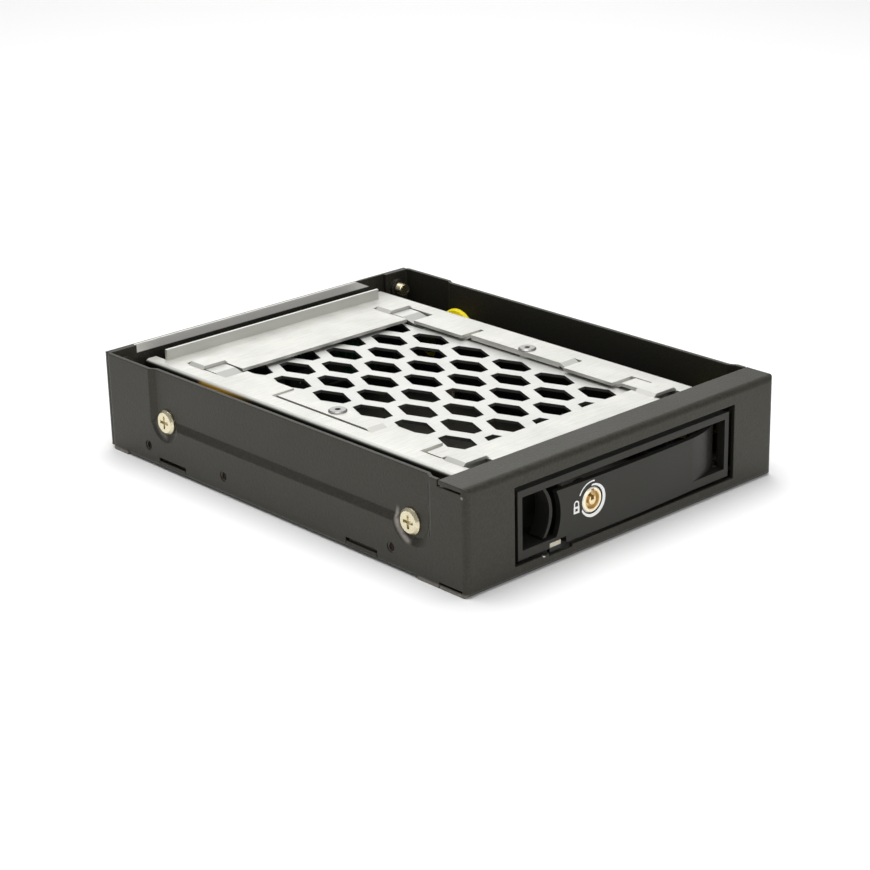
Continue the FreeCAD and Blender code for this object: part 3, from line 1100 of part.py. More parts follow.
def latch_bolt():
    """Bare-steel catch: leg on the stem, shelf under the well and tip in the notch."""
    back = STEM_FRONT - BOLT_SHEET
    shelf_top = BOLT_SHELF_BOTTOM + BOLT_SHEET
    leg = block(STEM_RIGHT - BOLT_LEG_WIDTH, STEM_RIGHT, back, STEM_FRONT, BOLT_SHELF_BOTTOM,
                LOCK_HEIGHT + BOLT_LEG_RISE)
    link = block(BOLT_LEFT, STEM_RIGHT, back, STEM_FRONT, BOLT_SHELF_BOTTOM, shelf_top)
    shelf = block(BOLT_LEFT, BOLT_LEFT + BOLT_WIDTH, BOLT_FACE, STEM_FRONT, BOLT_SHELF_BOTTOM, shelf_top)
    tip = block(BOLT_LEFT, BOLT_LEFT + BOLT_WIDTH, BOLT_FACE, BOLT_FACE + BOLT_SHEET, BOLT_TIP, shelf_top)
    return fuse_all([leg, link, shelf, tip])


def latch_spring():
    """Leaf spring between the stem and the lock boss."""
    mid = LOCK_X - BOSS_RADIUS - FIT_GAP / 2
    face = arc_strip(STEM_RIGHT + SPRING_SHEET, mid, LOCK_HEIGHT - SPRING_HALF_SPAN,
                     LOCK_HEIGHT + SPRING_HALF_SPAN,
                     SPRING_SHEET, BOSS_END - SPRING_WIDTH)
    return face.extrude(Y_AXIS * SPRING_WIDTH)


def ejector_bar():
    """Sliding strip: fork round the nub in front, slots for the studs, push tab at the rear."""
    nub = polar(NUB_ORBIT, NUB_ANGLE)
    reach = NUB_RADIUS + NUB_PLAY
    right = EJECTOR_LEFT + EJECTOR_WIDTH
    horn_right = nub.x + EJECTOR_HORN_REACH
    fork_front = nub.y - reach - EJECTOR_HORN
    fork_rear = nub.y + reach + EJECTOR_HORN
    strip = block(EJECTOR_LEFT, right, fork_front, EJECTOR_TAB + EJECTOR_SHEET, EJECTOR_BOTTOM, EJECTOR_TOP)
    horns = [block(EJECTOR_LEFT, horn_right, y, y + EJECTOR_HORN, EJECTOR_BOTTOM, EJECTOR_TOP)
             for y in (fork_front, fork_rear - EJECTOR_HORN)]
    tab = block(EJECTOR_LEFT, right, EJECTOR_TAB, EJECTOR_TAB + EJECTOR_SHEET, EJECTOR_BOTTOM,
                EJECTOR_TOP + EJECTOR_TAB_RISE)
    mouth = block(EJECTOR_LEFT + EJECTOR_SPINE, horn_right + MARGIN, nub.y - reach, nub.y + reach,
                  EJECTOR_BOTTOM - MARGIN, EJECTOR_TOP + MARGIN)
    slots = []
    half = STUD_RADIUS + STUD_SLOT_GAP
    middle = EJECTOR_LEFT + EJECTOR_WIDTH / 2
    for depth in STUD_DEPTHS:
        slots.append(block(middle - half, middle + half, depth, depth + EJECTOR_TRAVEL,
                           EJECTOR_BOTTOM - MARGIN, EJECTOR_TOP + MARGIN))
        slots += [rod(half, V(middle, y, EJECTOR_BOTTOM - MARGIN), Z_AXIS, EJECTOR_SHEET + 2 * MARGIN)
                  for y in (depth, depth + EJECTOR_TRAVEL)]
    return cut_all(fuse_all([strip, tab] + horns), [mouth] + slots)


def ejector_studs():
    """Two shouldered studs on the base plate that guide the ejector."""
    middle = EJECTOR_LEFT + EJECTOR_WIDTH / 2
    studs = []
    for depth in STUD_DEPTHS:
        seat = EJECTOR_BOTTOM - THREAD_GAP
        base = rod(STUD_BASE_RADIUS, V(middle, depth, BASE_TOP), Z_AXIS, seat - BASE_TOP)
        neck_top = EJECTOR_TOP + 2 * THREAD_GAP
        neck = rod(STUD_RADIUS, V(middle, depth, seat), Z_AXIS, neck_top - seat)
        head = rod(STUD_HEAD_RADIUS, V(middle, depth, neck_top), Z_AXIS, STUD_HEAD_HEIGHT)
        studs.append(fuse_all([base, neck, head]))
    return studs


def main():
    """Build and save every node."""
    rail = guide_rail_right()
    save("housing_shell", housing_shell())
    save("base_plate", base_plate())
    save("back_plate", back_plate())
    save("back_plate_screws", *back_plate_screws())
    save("drive_cage", drive_cage())
    save("vent_plate", vent_plate())
    save("vent_plate_rivets", *vent_plate_rivets())
    save("rivet_strips", *rivet_strips())
    save("guide_rail_right", rail)
    save("guide_rail_left", mirrored(rail))
    save("rubber_bushes", *rubber_bushes())
    save("cage_screws", *cage_screws())
    save("cage_nuts", *cage_nuts())
    save("backplane_board", backplane_board())
    save("board_standoffs", *board_standoffs())
    save("board_screws", *board_screws())
    save("drive_connector", drive_connector())
    save("data_connector", rear_plug(*DATA_PLUG))
    save("power_connector", rear_plug(*POWER_PLUG))
    save("hinge_bracket", hinge_bracket())
    save("hinge_pin", hinge_pin())
    save("door_front", door_front())
    save("lock_barrel", lock_barrel())
    save("lock_cam", lock_cam())
    save("lock_clip", lock_clip())
    save("latch_trigger", latch_trigger())
    save("latch_bolt", latch_bolt())
    save("latch_spring", latch_spring())
    save("ejector_bar", ejector_bar())
    save("ejector_studs", *ejector_studs())


main()
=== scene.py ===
"""Studio scene of a lockable drive rack: finishes, printed marks, contacts and threads on its solids."""
import json
import logging
import math
from dataclasses import dataclass
from enum import Enum
from typing import Any, Callable, Optional, Sequence, Union

import bpy
from mathutils import Matrix, Vector


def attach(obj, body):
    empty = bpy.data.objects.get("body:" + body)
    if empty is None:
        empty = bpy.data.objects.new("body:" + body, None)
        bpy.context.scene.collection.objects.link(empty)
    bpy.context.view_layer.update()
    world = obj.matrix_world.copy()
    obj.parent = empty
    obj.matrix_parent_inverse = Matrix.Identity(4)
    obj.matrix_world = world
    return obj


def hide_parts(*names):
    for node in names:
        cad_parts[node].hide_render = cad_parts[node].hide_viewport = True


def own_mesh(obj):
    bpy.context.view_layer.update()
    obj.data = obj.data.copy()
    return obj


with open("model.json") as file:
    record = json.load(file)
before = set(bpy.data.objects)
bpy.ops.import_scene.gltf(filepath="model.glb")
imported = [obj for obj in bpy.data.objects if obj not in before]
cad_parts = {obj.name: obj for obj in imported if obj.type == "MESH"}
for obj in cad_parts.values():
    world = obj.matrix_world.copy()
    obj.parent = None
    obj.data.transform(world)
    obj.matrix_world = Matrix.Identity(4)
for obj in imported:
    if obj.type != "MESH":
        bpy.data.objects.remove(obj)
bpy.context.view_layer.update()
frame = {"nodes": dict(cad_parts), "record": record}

# Lengths in millimetres and angles in degrees, where nothing else is said.
MM = 0.001
FRONT_Y = -66.25
LOCK_X, LOCK_Z = -12.0, 11.85
DOUBLED = 0.002
SHARP_ANGLE = 35.0
REAR_SCREWS = [(x, FRONT_Y + 126.3, z) for x in (46.0, -46.0) for z in (5.0, 20.9)]
BAY_HOLES = [(x, y, 5.0) for x in (50.05, -50.5) for y in (-41.85, 18.15, 48.15)]

# Shares of a unit normal.
HALF_UPRIGHT = 0.5
FACING = 0.9
SQUARE_ON = 0.99
NEARLY_LEVEL = 0.996

UPRIGHT = (math.pi / 2, 0.0, 0.0)
LOG = logging.getLogger("drive_rack")

Pair = tuple[float, float]
Triple = tuple[float, float, float]
Colour = Triple
Piece = bpy.types.Object
Material = bpy.types.Material


def shaded(colour: Colour, share: float) -> Colour:
    """Colour at a share of its brightness."""
    return tuple(share * part for part in colour)


class Axis(Enum):
    """Direction that a rolled or drawn surface runs in, as the streaks' sizes in millimetres."""

    ACROSS = (4.8, 0.144, 0.144)
    ALONG = (0.144, 4.8, 0.144)
    EVEN = (0.36, 0.36, 0.36)


class Field:
    """A number that varies over a surface, written with Python's operators."""

    def __init__(self, board: "NodeBoard", socket: bpy.types.NodeSocket) -> None:
        """Wrap one output socket of a node board."""
        self.board = board
        self.socket = socket

    def _math(self, operation: str, *terms: "Number") -> "Field":
        """Result of a Math node with these inputs, in order."""
        node = self.board.add("ShaderNodeMath", dict(enumerate(terms)), operation=operation)
        return Field(self.board, node.outputs[0])

    def __add__(self, other: "Number") -> "Field":
        """Sum of two numbers."""
        return self._math("ADD", self, other)

    def __radd__(self, other: "Number") -> "Field":
        """Sum of two numbers."""
        return self._math("ADD", other, self)

    def __sub__(self, other: "Number") -> "Field":
        """Difference of two numbers."""
        return self._math("SUBTRACT", self, other)

    def __rsub__(self, other: "Number") -> "Field":
        """Difference of two numbers, the other way round."""
        return self._math("SUBTRACT", other, self)

    def __mul__(self, other: "Number") -> "Field":
        """Product of two numbers."""
        return self._math("MULTIPLY", self, other)

    def __rmul__(self, other: "Number") -> "Field":
        """Product of two numbers."""
        return self._math("MULTIPLY", other, self)

    def __truediv__(self, other: "Number") -> "Field":
        """Quotient of two numbers."""
        return self._math("DIVIDE", self, other)

    def __pow__(self, other: "Number") -> "Field":
        """Power of a number."""
        return self._math("POWER", self, other)

    def __abs__(self) -> "Field":
        """Size of a number without its sign."""
        return self._math("ABSOLUTE", self)

    def zigzag(self, span: float) -> "Field":
        """Number folded to and fro between 0 and a span."""
        return self._math("PINGPONG", self, span)

    def above(self, edge: float, blur: float) -> "Field":
        """Mask that rises smoothly from 0 to 1 around an edge.

        Args:
            edge: Value at which the mask is one half.
            blur: Half the width of the rise.

        Returns:
            The mask.
        """
        node = self.board.add("ShaderNodeMapRange",
                              {"Value": self, "From Min": edge - blur, "From Max": edge + blur},
                              interpolation_type="SMOOTHSTEP")
        return Field(self.board, node.outputs["Result"])

    def below(self, edge: float, blur: float) -> "Field":
        """Mask that falls smoothly from 1 to 0 around an edge."""
        return 1.0 - self.above(edge, blur)


Number = Union[float, Field]


class NodeBoard:
    """A new material's node tree, with one method that adds any node."""

    def __init__(self, name: str) -> None:
        """Start a material with a Principled shader and its output.

        Args:
            name: The material's name.
        """
        self.material = bpy.data.materials.new(name)
        self.material.use_nodes = True
        self.tree = self.material.node_tree
        self.tree.nodes.clear()
        self.shader = self.add("ShaderNodeBsdfPrincipled")
        self.add("ShaderNodeOutputMaterial", {"Surface": self.shader.outputs["BSDF"]})
        self.coords = self.add("ShaderNodeTexCoord").outputs

    def add(self, kind: str, sockets: Optional[dict[Any, Any]] = None, **settings: Any) -> bpy.types.Node:
        """Add a node.

        Args:
            kind: The node's type.
            sockets: Values or links of its inputs, by name or number.
            settings: Its properties, set first.

        Returns:
            The new node.
        """
        node = self.tree.nodes.new(kind)
        for name, value in settings.items():
            setattr(node, name, value)
        for name, value in (sockets or {}).items():
            self._fill(node.inputs[name], value)
        return node

    def _fill(self, socket: bpy.types.NodeSocket, value: Any) -> None:
        """Link a field or an output to an input, or set the input's own value.

        Args:
            socket: The input.
            value: A field, an output, a number, a vector or a colour.
        """
        value = value.socket if isinstance(value, Field) else value
        if isinstance(value, bpy.types.NodeSocket):
            self.tree.links.new(value, socket)
        else:
            socket.default_value = (*value, 1.0) if socket.type == "RGBA" else value

    def place(self) -> tuple[Field, ...]:
        """Position on the object in millimetres, as x, y and z."""
        parts = self.add("ShaderNodeSeparateXYZ", {0: self.coords["Object"]})
        return tuple(Field(self, socket) * (1 / MM) for socket in parts.outputs)

    def facing(self) -> tuple[Field, ...]:
        """Direction that the surface faces, from the smooth normal, as x, y and z."""
        parts = self.add("ShaderNodeSeparateXYZ", {0: self.coords["Normal"]})
        return tuple(Field(self, socket) for socket in parts.outputs)

    def far(self, centre: Triple) -> Field:
        """Squared distance from a point in millimetres."""
        return sum((abs(v - c) ** 2.0 for v, c in zip(self.place(), centre)), 0.0)

    def inward(self) -> Field:
        """Mask of the upright faces that look towards the middle of the object."""
        return (self.place()[0] * self.facing()[0]).below(-20.0, 8.0)

    def noise(self, grain: Union[float, Triple], detail: float = 2.0) -> Field:
        """Cloudy noise, even or with a grain of its own size along each axis.

        Args:
            grain: Size of the grain in millimetres, one for all or along x, y and z.
            detail: Number of finer layers.

        Returns:
            The noise, about 0.3 to 0.7.
        """
        sizes = grain if isinstance(grain, tuple) else (grain,) * 3
        scale = tuple(1 / (size * MM) for size in sizes)
        place = self.add("ShaderNodeMapping", {"Vector": self.coords["Object"], "Scale": scale})
        node = self.add("ShaderNodeTexNoise", {"Vector": place.outputs[0], "Scale": 1.0, "Detail": detail})
        return Field(self, node.outputs["Fac"])

    def mix(self, factor: Field, low: Any, high: Any) -> bpy.types.NodeSocket:
        """Two colours mixed by the share of the second, on the node's colour sockets 6, 7 and 2."""
        return self.add("ShaderNodeMix", {0: factor, 6: low, 7: high}, data_type="RGBA",
                        clamp_factor=True).outputs[2]

    def relief(self, height: Field, lift: float, edge: float = 0.0) -> bpy.types.NodeSocket:
        """Normal of a grained surface with softened edges.

        Args:
            height: Height of the grain, 0 to 1.
            lift: Height of the grain in millimetres.
            edge: Radius of the softened edges in millimetres, 0 for none.

        Returns:
            The normal.
        """
        sockets = {"Height": height, "Distance": lift * MM, "Strength": 1.0}
        if edge:
            soft = self.add("ShaderNodeBevel", {"Radius": edge * MM}, samples=6)
            sockets["Normal"] = soft.outputs[0]
        return self.add("ShaderNodeBump", sockets).outputs[0]

    def surface(self, **sockets: Any) -> Material:
        """Fill the shader's sockets.

        Args:
            sockets: Values or links, with _ for a space in the socket's name.

        Returns:
            The finished material.
        """
        for name, value in sockets.items():
            self._fill(self.shader.inputs[name.replace("_", " ")], value)
        return self.material


@dataclass(frozen=True)
class PaintedHighlightArc:
    """Curved painted highlight on the left wall, by depth and height, in millimetres."""

    centre: Pair
    radius: float
    heading: float
    spread: float
    share: float
    width: float = 0.45
    blur: float = 0.4
    fade: float = 0.15

    def mask(self, board: NodeBoard) -> Field:
        """Mask of the patch.

        Args:
            board: The paint's nodes.

        Returns:
            The mask, at most the patch's share.
        """
        x, y, z = board.place()
        ahead, upward = y - self.centre[0], z - self.centre[1]
        radius = (ahead ** 2.0 + upward ** 2.0) ** 0.5
        heading = math.radians(self.heading)
        turn = (ahead * math.cos(heading) + upward * math.sin(heading)) / radius
        ring = abs(radius - self.radius).below(self.width, self.blur)
        sector = turn.above(math.cos(math.radians(self.spread)), self.fade)
        return ring * sector * x.below(0.0, 1.0) * self.share


@dataclass(frozen=True)
class GrainedPaint:
    """Baked paint with a fine grain, missing in places, with painted shade on its inward faces, painted
    highlights and a painted floor reflection along its foot.
    """

    name: str
    deep: Colour
    pale: Colour
    roughness: float
    grain: float = 0.52
    lift: float = 0.075
    fleck: float = 0.9
    cloud: float = 22.0
    edge: float = 0.4
    tint: Colour = (1.0, 0.97, 0.8)
    # Share of the deep colour for the painted shade on inward upright faces.
    inside: float = 0.15
    chip_centre: Optional[Triple] = None
    chip_reach: float = 1.0
    strip: bool = False
    strip_foot: float = 23.1
    strip_left: float = -42.0
    strip_slant: float = 83.1
    strip_rear: float = 64.6
    metal: Colour = (0.94, 0.925, 0.89)
    metal_rough: float = 0.42
    # Painted highlights on the left wall.
    painted_highlights: tuple[PaintedHighlightArc, ...] = ()
    # Painted floor reflection: share and height of a pale rim on upright faces near the floor.
    foot: float = 0.0
    floor_reflection_height: float = 0.8
    # Pale colour of the painted highlights and the painted floor reflection.
    painted_pale: Colour = (0.36, 0.33, 0.305)

    def _bare(self, board: NodeBoard) -> Optional[Field]:
        """Mask of the places where the paint is missing.

        Args:
            board: The material's nodes.

        Returns:
            The mask, or nothing where all is painted.
        """
        if self.strip:
            x, y, z = board.place()
            slant = x + 2.0 * z + board.noise(2.0, 3.0) * 0.5
            return (z.above(self.strip_foot, 0.08) * x.above(self.strip_left, 0.1)
                    * slant.below(self.strip_slant, 0.2) * y.below(self.strip_rear, 0.05))
        if self.chip_centre:
            flakes = board.noise((0.5, 0.5, 0.28), 3.0).above(0.55, 0.02)
            return board.far(self.chip_centre).below(self.chip_reach ** 2, 0.3) * flakes
        return None

    def _painted_light_mask(self, board: NodeBoard) -> Field:
        """Mask of the painted highlights and the painted floor reflection.

        Args:
            board: The material's nodes.

        Returns:
            The mask.
        """
        # Painted floor reflection on upright faces near the floor, with the painted highlights added.
        upright = abs(board.facing()[2]).below(HALF_UPRIGHT, 0.1)
        rim = board.place()[2].below(self.floor_reflection_height, 0.4) * upright * self.foot
        painted_pale = sum((painted_glint.mask(board) for painted_glint in self.painted_highlights), rim)
        return painted_pale * (0.3 + 1.4 * board.noise(self.fleck))

    def material(self) -> Material:
        """Build the paint.

        Returns:
            The finished material.
        """
        board = NodeBoard(self.name)
        grain = board.noise(self.grain, 3.0)
        fleck = board.noise(self.fleck).above(0.62, 0.05)
        cloud = board.noise(self.cloud)
        # Painted shade: upright faces that look towards the middle are darkened.
        inner_shade = board.inward()
        tone = grain.above(0.5, 0.14) * 0.6 + cloud * 0.3 + fleck * 0.2
        colour = board.mix(inner_shade, board.mix(tone, self.deep, self.pale), shaded(self.deep, self.inside))
        # Painted highlights and painted floor reflection.
        if self.painted_highlights or self.foot:
            colour = board.mix(self._painted_light_mask(board), colour, self.painted_pale)
        rough = self.roughness + 0.3 * (grain - 0.5) + 0.1 * (cloud - 0.5) + 0.3 * inner_shade
        bare = self._bare(board)
        if bare is not None:
            colour = board.mix(bare, colour, self.metal)
            rough = rough * (1.0 - bare) + self.metal_rough * bare
            board.surface(Metallic=0.6 * bare)
        return board.surface(Base_Color=colour, Roughness=rough, Specular_Tint=self.tint,
                             Normal=board.relief(grain, self.lift, self.edge))


@dataclass(frozen=True)
class RolledSheet:
    """Bare rolled sheet or drawn metal with faint streaks and a soft bloom; it can carry painted light and
    shade by facing, painted gap shade with a painted reflection, and painted shade below a height.
    """

    name: str
    dull: Colour
    bright: Colour
    roughness: float
    run: Axis = Axis.EVEN
    lift: float = 0.0022
    edge: float = 0.1
    metal: float = 1.0
    # Painted light and shade by facing: shares of the dull colour on sloping faces and on upright cut edges.
    painted_slope_tone: Optional[float] = None
    painted_edge_tone: Optional[float] = None
    # Painted shade: height below which the metal is black and not metallic.
    painted_shade_below: Optional[float] = None
    # Painted gap shade on outward side faces beyond this x, with a painted amber reflection of the yellow
    # bush between two depths on the left.
    gap_shade_beyond: Optional[float] = None
    reflection_depths: Pair = (25.0, 40.0)
    painted_reflection: Colour = (0.5, 0.3, 0.04)
    gap_shade: Colour = (0.012, 0.012, 0.011)
    shade_black: Colour = (0.006, 0.006, 0.006)

    def material(self) -> Material:
        """Build the metal, with painted tones on its slopes and cut edges, painted gap shade and a painted
        amber reflection on its flanks, and painted black shade below a height.

        Returns:
            The finished material.
        """
        board = NodeBoard(self.name)
        streak = board.noise(self.run.value, 3.0)
        bloom = board.noise((9.0, 14.0, 9.0), 3.0)
        speck = board.noise(0.6).above(0.68, 0.04)
        tone = 0.55 + 1.5 * (streak - 0.5) + 1.0 * (bloom - 0.5) - 0.15 * speck
        rough = self.roughness + 0.16 * (bloom - 0.5) + 0.12 * (streak - 0.5)
        colour = board.mix(tone, self.dull, self.bright)
        metal = self.metal
        # Painted light and shade by facing.
        level = abs(board.facing()[2])
        for share, limit in ((self.painted_slope_tone, NEARLY_LEVEL), (self.painted_edge_tone, HALF_UPRIGHT)):
            if share is not None:
                colour = board.mix(level.below(limit, 0.003), colour, shaded(self.dull, share))
        # Painted shade in the gap beside the cage's flanks, with a painted amber reflection on the left.
        if self.gap_shade_beyond is not None:
            x, y, _ = board.place()
            front, rear = self.reflection_depths
            reflection_mask = y.above(front, 7.0) * y.below(rear, 1.5) * x.below(0.0, 1.0)
            side = abs(x).above(self.gap_shade_beyond, 0.2) * abs(board.facing()[0]).above(0.72, 0.2)
            colour = board.mix(side, colour, board.mix(reflection_mask, self.gap_shade, self.painted_reflection))
        # Painted shade: black and not metallic below the given height.
        if self.painted_shade_below is not None:
            black = board.place()[2].below(self.painted_shade_below, 0.08)
            colour = board.mix(black, colour, self.shade_black)
            metal = self.metal * (1.0 - black)
        return board.surface(Base_Color=colour, Metallic=metal, Roughness=rough,
                             Normal=board.relief(streak, self.lift, self.edge))


@dataclass(frozen=True)
class Moulding:
    """Moulded plastic or rubber with a spark-eroded grain, and painted shade where little light reaches."""

    name: str
    deep: Colour
    pale: Colour
    roughness: float
    grain: float = 0.18
    lift: float = 0.008
    edge: float = 0.12
    cloud: float = 14.0
    unlit_depth: Optional[float] = None
    unlit_side: Optional[Triple] = None
    unlit_spot: Optional[Triple] = None
    unlit_tone: float = 0.1
    spot_reach: float = 6.708
    tint: Colour = (1.0, 1.0, 1.0)
    shine: float = 0.5

    def _unlit(self, board: NodeBoard) -> Optional[Field]:
        """Mask of the places that hardly any light reaches.

        Args:
            board: The material's nodes.

        Returns:
            The mask, or nothing where all is lit.
        """
        masks = []
        if self.unlit_depth is not None:
            masks.append(board.place()[1].above(FRONT_Y + self.unlit_depth, 0.4))
        if self.unlit_side:
            masks.append(sum((n * s for n, s in zip(board.facing(), self.unlit_side)), 0.0).above(0.7, 0.1))
        if self.unlit_spot:
            masks.append(board.far(self.unlit_spot).below(self.spot_reach ** 2, 20.0))
        return 1.0 - math.prod(1.0 - mask for mask in masks) if masks else None

    def material(self) -> Material:
        """Build the moulding's surface.

        Returns:
            The finished material.
        """
        board = NodeBoard(self.name)
        grain = board.noise(self.grain)
        cloud = board.noise(self.cloud)
        colour = board.mix(grain * 0.5 + cloud * 0.5, self.deep, self.pale)
        rough = self.roughness + 0.15 * (grain - 0.5) + 0.12 * (cloud - 0.5)
        unlit = self._unlit(board)
        if unlit is not None:
            colour = board.mix(unlit, colour, shaded(self.deep, self.unlit_tone))
            rough = rough + 0.4 * unlit
        normal = board.relief(grain, self.lift, self.edge)
        return board.surface(Base_Color=colour, Roughness=rough, Normal=normal, Specular_Tint=self.tint,
                             Specular_IOR_Level=self.shine)


@dataclass(frozen=True)
class LockBrass:
    """Turned brass with a bright rim and face, darker in the key recess."""

    name: str
    dark: Colour
    bright: Colour
    rim: Colour
    centre: Triple
    rim_radius: float
    face_depth: float = 0.35
    metal: float = 0.7

    def material(self) -> Material:
        """Build the brass.

        Returns:
            The finished material.
        """
        board = NodeBoard(self.name)
        x, y, z = board.place()
        cx, cy, cz = self.centre
        radius = ((x - cx) ** 2.0 + (z - cz) ** 2.0) ** 0.5
        smear = board.noise(1.1, 3.0)
        grain = board.noise(0.35)
        face = y.below(cy + self.face_depth, 0.12)
        tone = face * 0.55 + smear * 0.5
        brass = board.mix(tone, self.dark, self.bright)
        rim = radius.above(self.rim_radius, 0.12) * face
        rough = 0.34 + 0.25 * (smear - 0.5) + 0.1 * grain
        return board.surface(Base_Color=board.mix(rim, brass, self.rim), Metallic=self.metal,
                             Roughness=rough, Normal=board.relief(grain, 0.004, 0.08))


@dataclass(frozen=True)
class SolderMask:
    """Green lacquered board with buried tracks."""

    name: str
    mask: Colour
    track: Colour
    pitch: float = 2.4
    drift: float = 5.0
    lacquer: float = 0.25

    def material(self) -> Material:
        """Build the board's lacquer.

        Returns:
            The finished material.
        """
        board = NodeBoard(self.name)
        x, _, z = board.place()
        drift = board.noise(6.0, 1.0) * self.drift
        patch = board.noise(9.0, 0.0).above(0.45, 0.03)
        lines = (x + drift).zigzag(self.pitch / 2).below(0.3, 0.05) * patch
        cross = (z + drift).zigzag(self.pitch).below(0.2, 0.05)
        tracks = lines * 0.8 + cross * 0.4
        cloud = board.noise(11.0)
        return board.surface(Base_Color=board.mix(tracks, self.mask, self.track),
                             Roughness=0.3 + 0.15 * (cloud - 0.5), Coat_Weight=self.lacquer,
                             Normal=board.relief(tracks, 0.03, 0.1))


@dataclass(frozen=True)
class InkPrint:
    """Pad-printed white ink, a little thin in places."""

    name: str
    ink: Colour
    thin: Colour

    def material(self) -> Material:
        """Build the ink.

        Returns:
            The finished material.
        """
        board = NodeBoard(self.name)
        cover = board.noise(0.25, 3.0)
        return board.surface(Base_Color=board.mix(cover.below(0.36, 0.06), self.ink, self.thin),
                             Roughness=0.55 + 0.2 * (cover - 0.5), Normal=board.relief(cover, 0.004))


class Bench:
    """Modelling steps that the sub-assemblies share."""

    @staticmethod
    def clear() -> None:
        """Deselect everything, in object mode."""
        if bpy.context.object and bpy.context.object.mode != "OBJECT":
            Bench.done()
        bpy.ops.object.select_all(action="DESELECT")

    @staticmethod
    def done() -> None:
        """Leave edit mode."""
        bpy.ops.object.mode_set(mode="OBJECT")

    @staticmethod
    def only(piece: Piece) -> None:
        """Select one piece alone and make it active.

        Args:
            piece: The piece.
        """
        Bench.clear()
        piece.select_set(True)
        bpy.context.view_layer.objects.active = piece

    @staticmethod
    def named(name: str) -> Piece:
        """Name the active object and its mesh and settle it.

        Args:
            name: The piece's name.

        Returns:
            The piece.
        """
        piece = bpy.context.object
        piece.name = name
        piece.data.name = name
        Bench.settle(piece)
        return piece

    @staticmethod
    def pick(piece: Piece, kind: str, test: Callable[[Any], bool]) -> None:
        """Select vertices, edges or faces by a test and go to edit mode.

        Args:
            piece: The piece to work on.
            kind: VERT, EDGE or FACE.
            test: Says of each vertex, edge or face if it is chosen.
        """
        Bench.only(piece)
        bpy.ops.object.mode_set(mode="EDIT")
        bpy.ops.mesh.select_mode(type=kind)
        bpy.ops.mesh.select_all(action="DESELECT")
        Bench.done()
        mesh = piece.data
        for item in {"VERT": mesh.vertices, "EDGE": mesh.edges, "FACE": mesh.polygons}[kind]:
            item.select = test(item)
        bpy.ops.object.mode_set(mode="EDIT")

    @staticmethod
    def pick_all() -> None:
        """Select the whole active piece in edit mode."""
        bpy.ops.object.mode_set(mode="EDIT")
        bpy.ops.mesh.select_all(action="SELECT")

    @staticmethod
    def modify(piece: Piece, kind: str, **settings: Any) -> None:
        """Add a modifier and apply it.

        Args:
            piece: The piece to change.
            kind: The modifier's type.
            settings: Its properties.
        """
        Bench.only(piece)
        modifier = piece.modifiers.new(kind.title(), kind)
        for name, value in settings.items():
            setattr(modifier, name, value)
        bpy.ops.object.modifier_apply(modifier=modifier.name)

    @staticmethod
    def settle(piece: Piece) -> None:
        """Put the object's place, turn and scale into its mesh."""
        Bench.only(piece)
        bpy.ops.object.transform_apply(location=True, rotation=True, scale=True)

    @staticmethod
    def tidy_faces(piece: Piece) -> None:
        """Merge doubled points and turn all faces outwards.

        Args:
            piece: The piece.
        """
        Bench.only(piece)
        Bench.pick_all()
        bpy.ops.mesh.remove_doubles(threshold=DOUBLED * MM)
        bpy.ops.mesh.normals_make_consistent(inside=False)
        Bench.done()

    @staticmethod
    def block(name: str, centre: Vector, size: Triple, bevel: float = 0.0) -> Piece:
        """Make a block, with or without bevels.

        Args:
            name: Name of the piece.
            centre: Its centre in millimetres.
            size: Its size in millimetres.
            bevel: Width of its bevels in millimetres, 0 for none.

        Returns:
            The settled block.
        """
        Bench.clear()
        bpy.ops.mesh.primitive_cube_add(size=MM, location=centre * MM)
        bpy.ops.transform.resize(value=size)
        block = Bench.named(name)
        if bevel:
            Bench.modify(block, "BEVEL", width=bevel * MM, segments=2, limit_method="ANGLE")
        return block

    @staticmethod
    def copies(piece: Piece, moves: Sequence[Triple]) -> Piece:
        """Copy a piece to several places and join the copies with it.

        Args:
            piece: The piece, already settled.
            moves: Moves of the copies in millimetres.

        Returns:
            The joined piece.
        """
        name = piece.name
        made = [piece]
        for move in moves:
            Bench.only(piece)
            bpy.ops.object.duplicate(linked=False)
            bpy.ops.transform.translate(value=Vector(move) * MM)
            made.append(bpy.context.object)
        return Bench.joined(name, made)

    @staticmethod
    def joined(name: str, pieces: Sequence[Piece]) -> Piece:
        """Join pieces into one that sits at the origin.

        Args:
            name: Name of the joined piece.
            pieces: The pieces; the first takes the others in.

        Returns:
            The joined piece.
        """
        Bench.only(pieces[0])
        for other in pieces[1:]:
            other.select_set(True)
        if len(pieces) > 1:
            bpy.ops.object.join()
        return Bench.named(name)

    @staticmethod
    def hand_over(piece: Piece, finish: Material, body: str, slot: str) -> None:
        """Dress a finished piece and let it ride on its body.

        Args:
            piece: The finished piece.
            finish: Its material.
            body: Body that it moves with.
            slot: Material slot of the record that it belongs to; not used.
        """
        Bench.only(piece)
        bpy.ops.object.shade_smooth_by_angle(angle=math.radians(SHARP_ANGLE))
        piece.data.materials.clear()
        piece.data.materials.append(finish)
        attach(piece, body)
        LOG.info("%s rides on %s with %d faces", piece.name, body, len(piece.data.polygons))


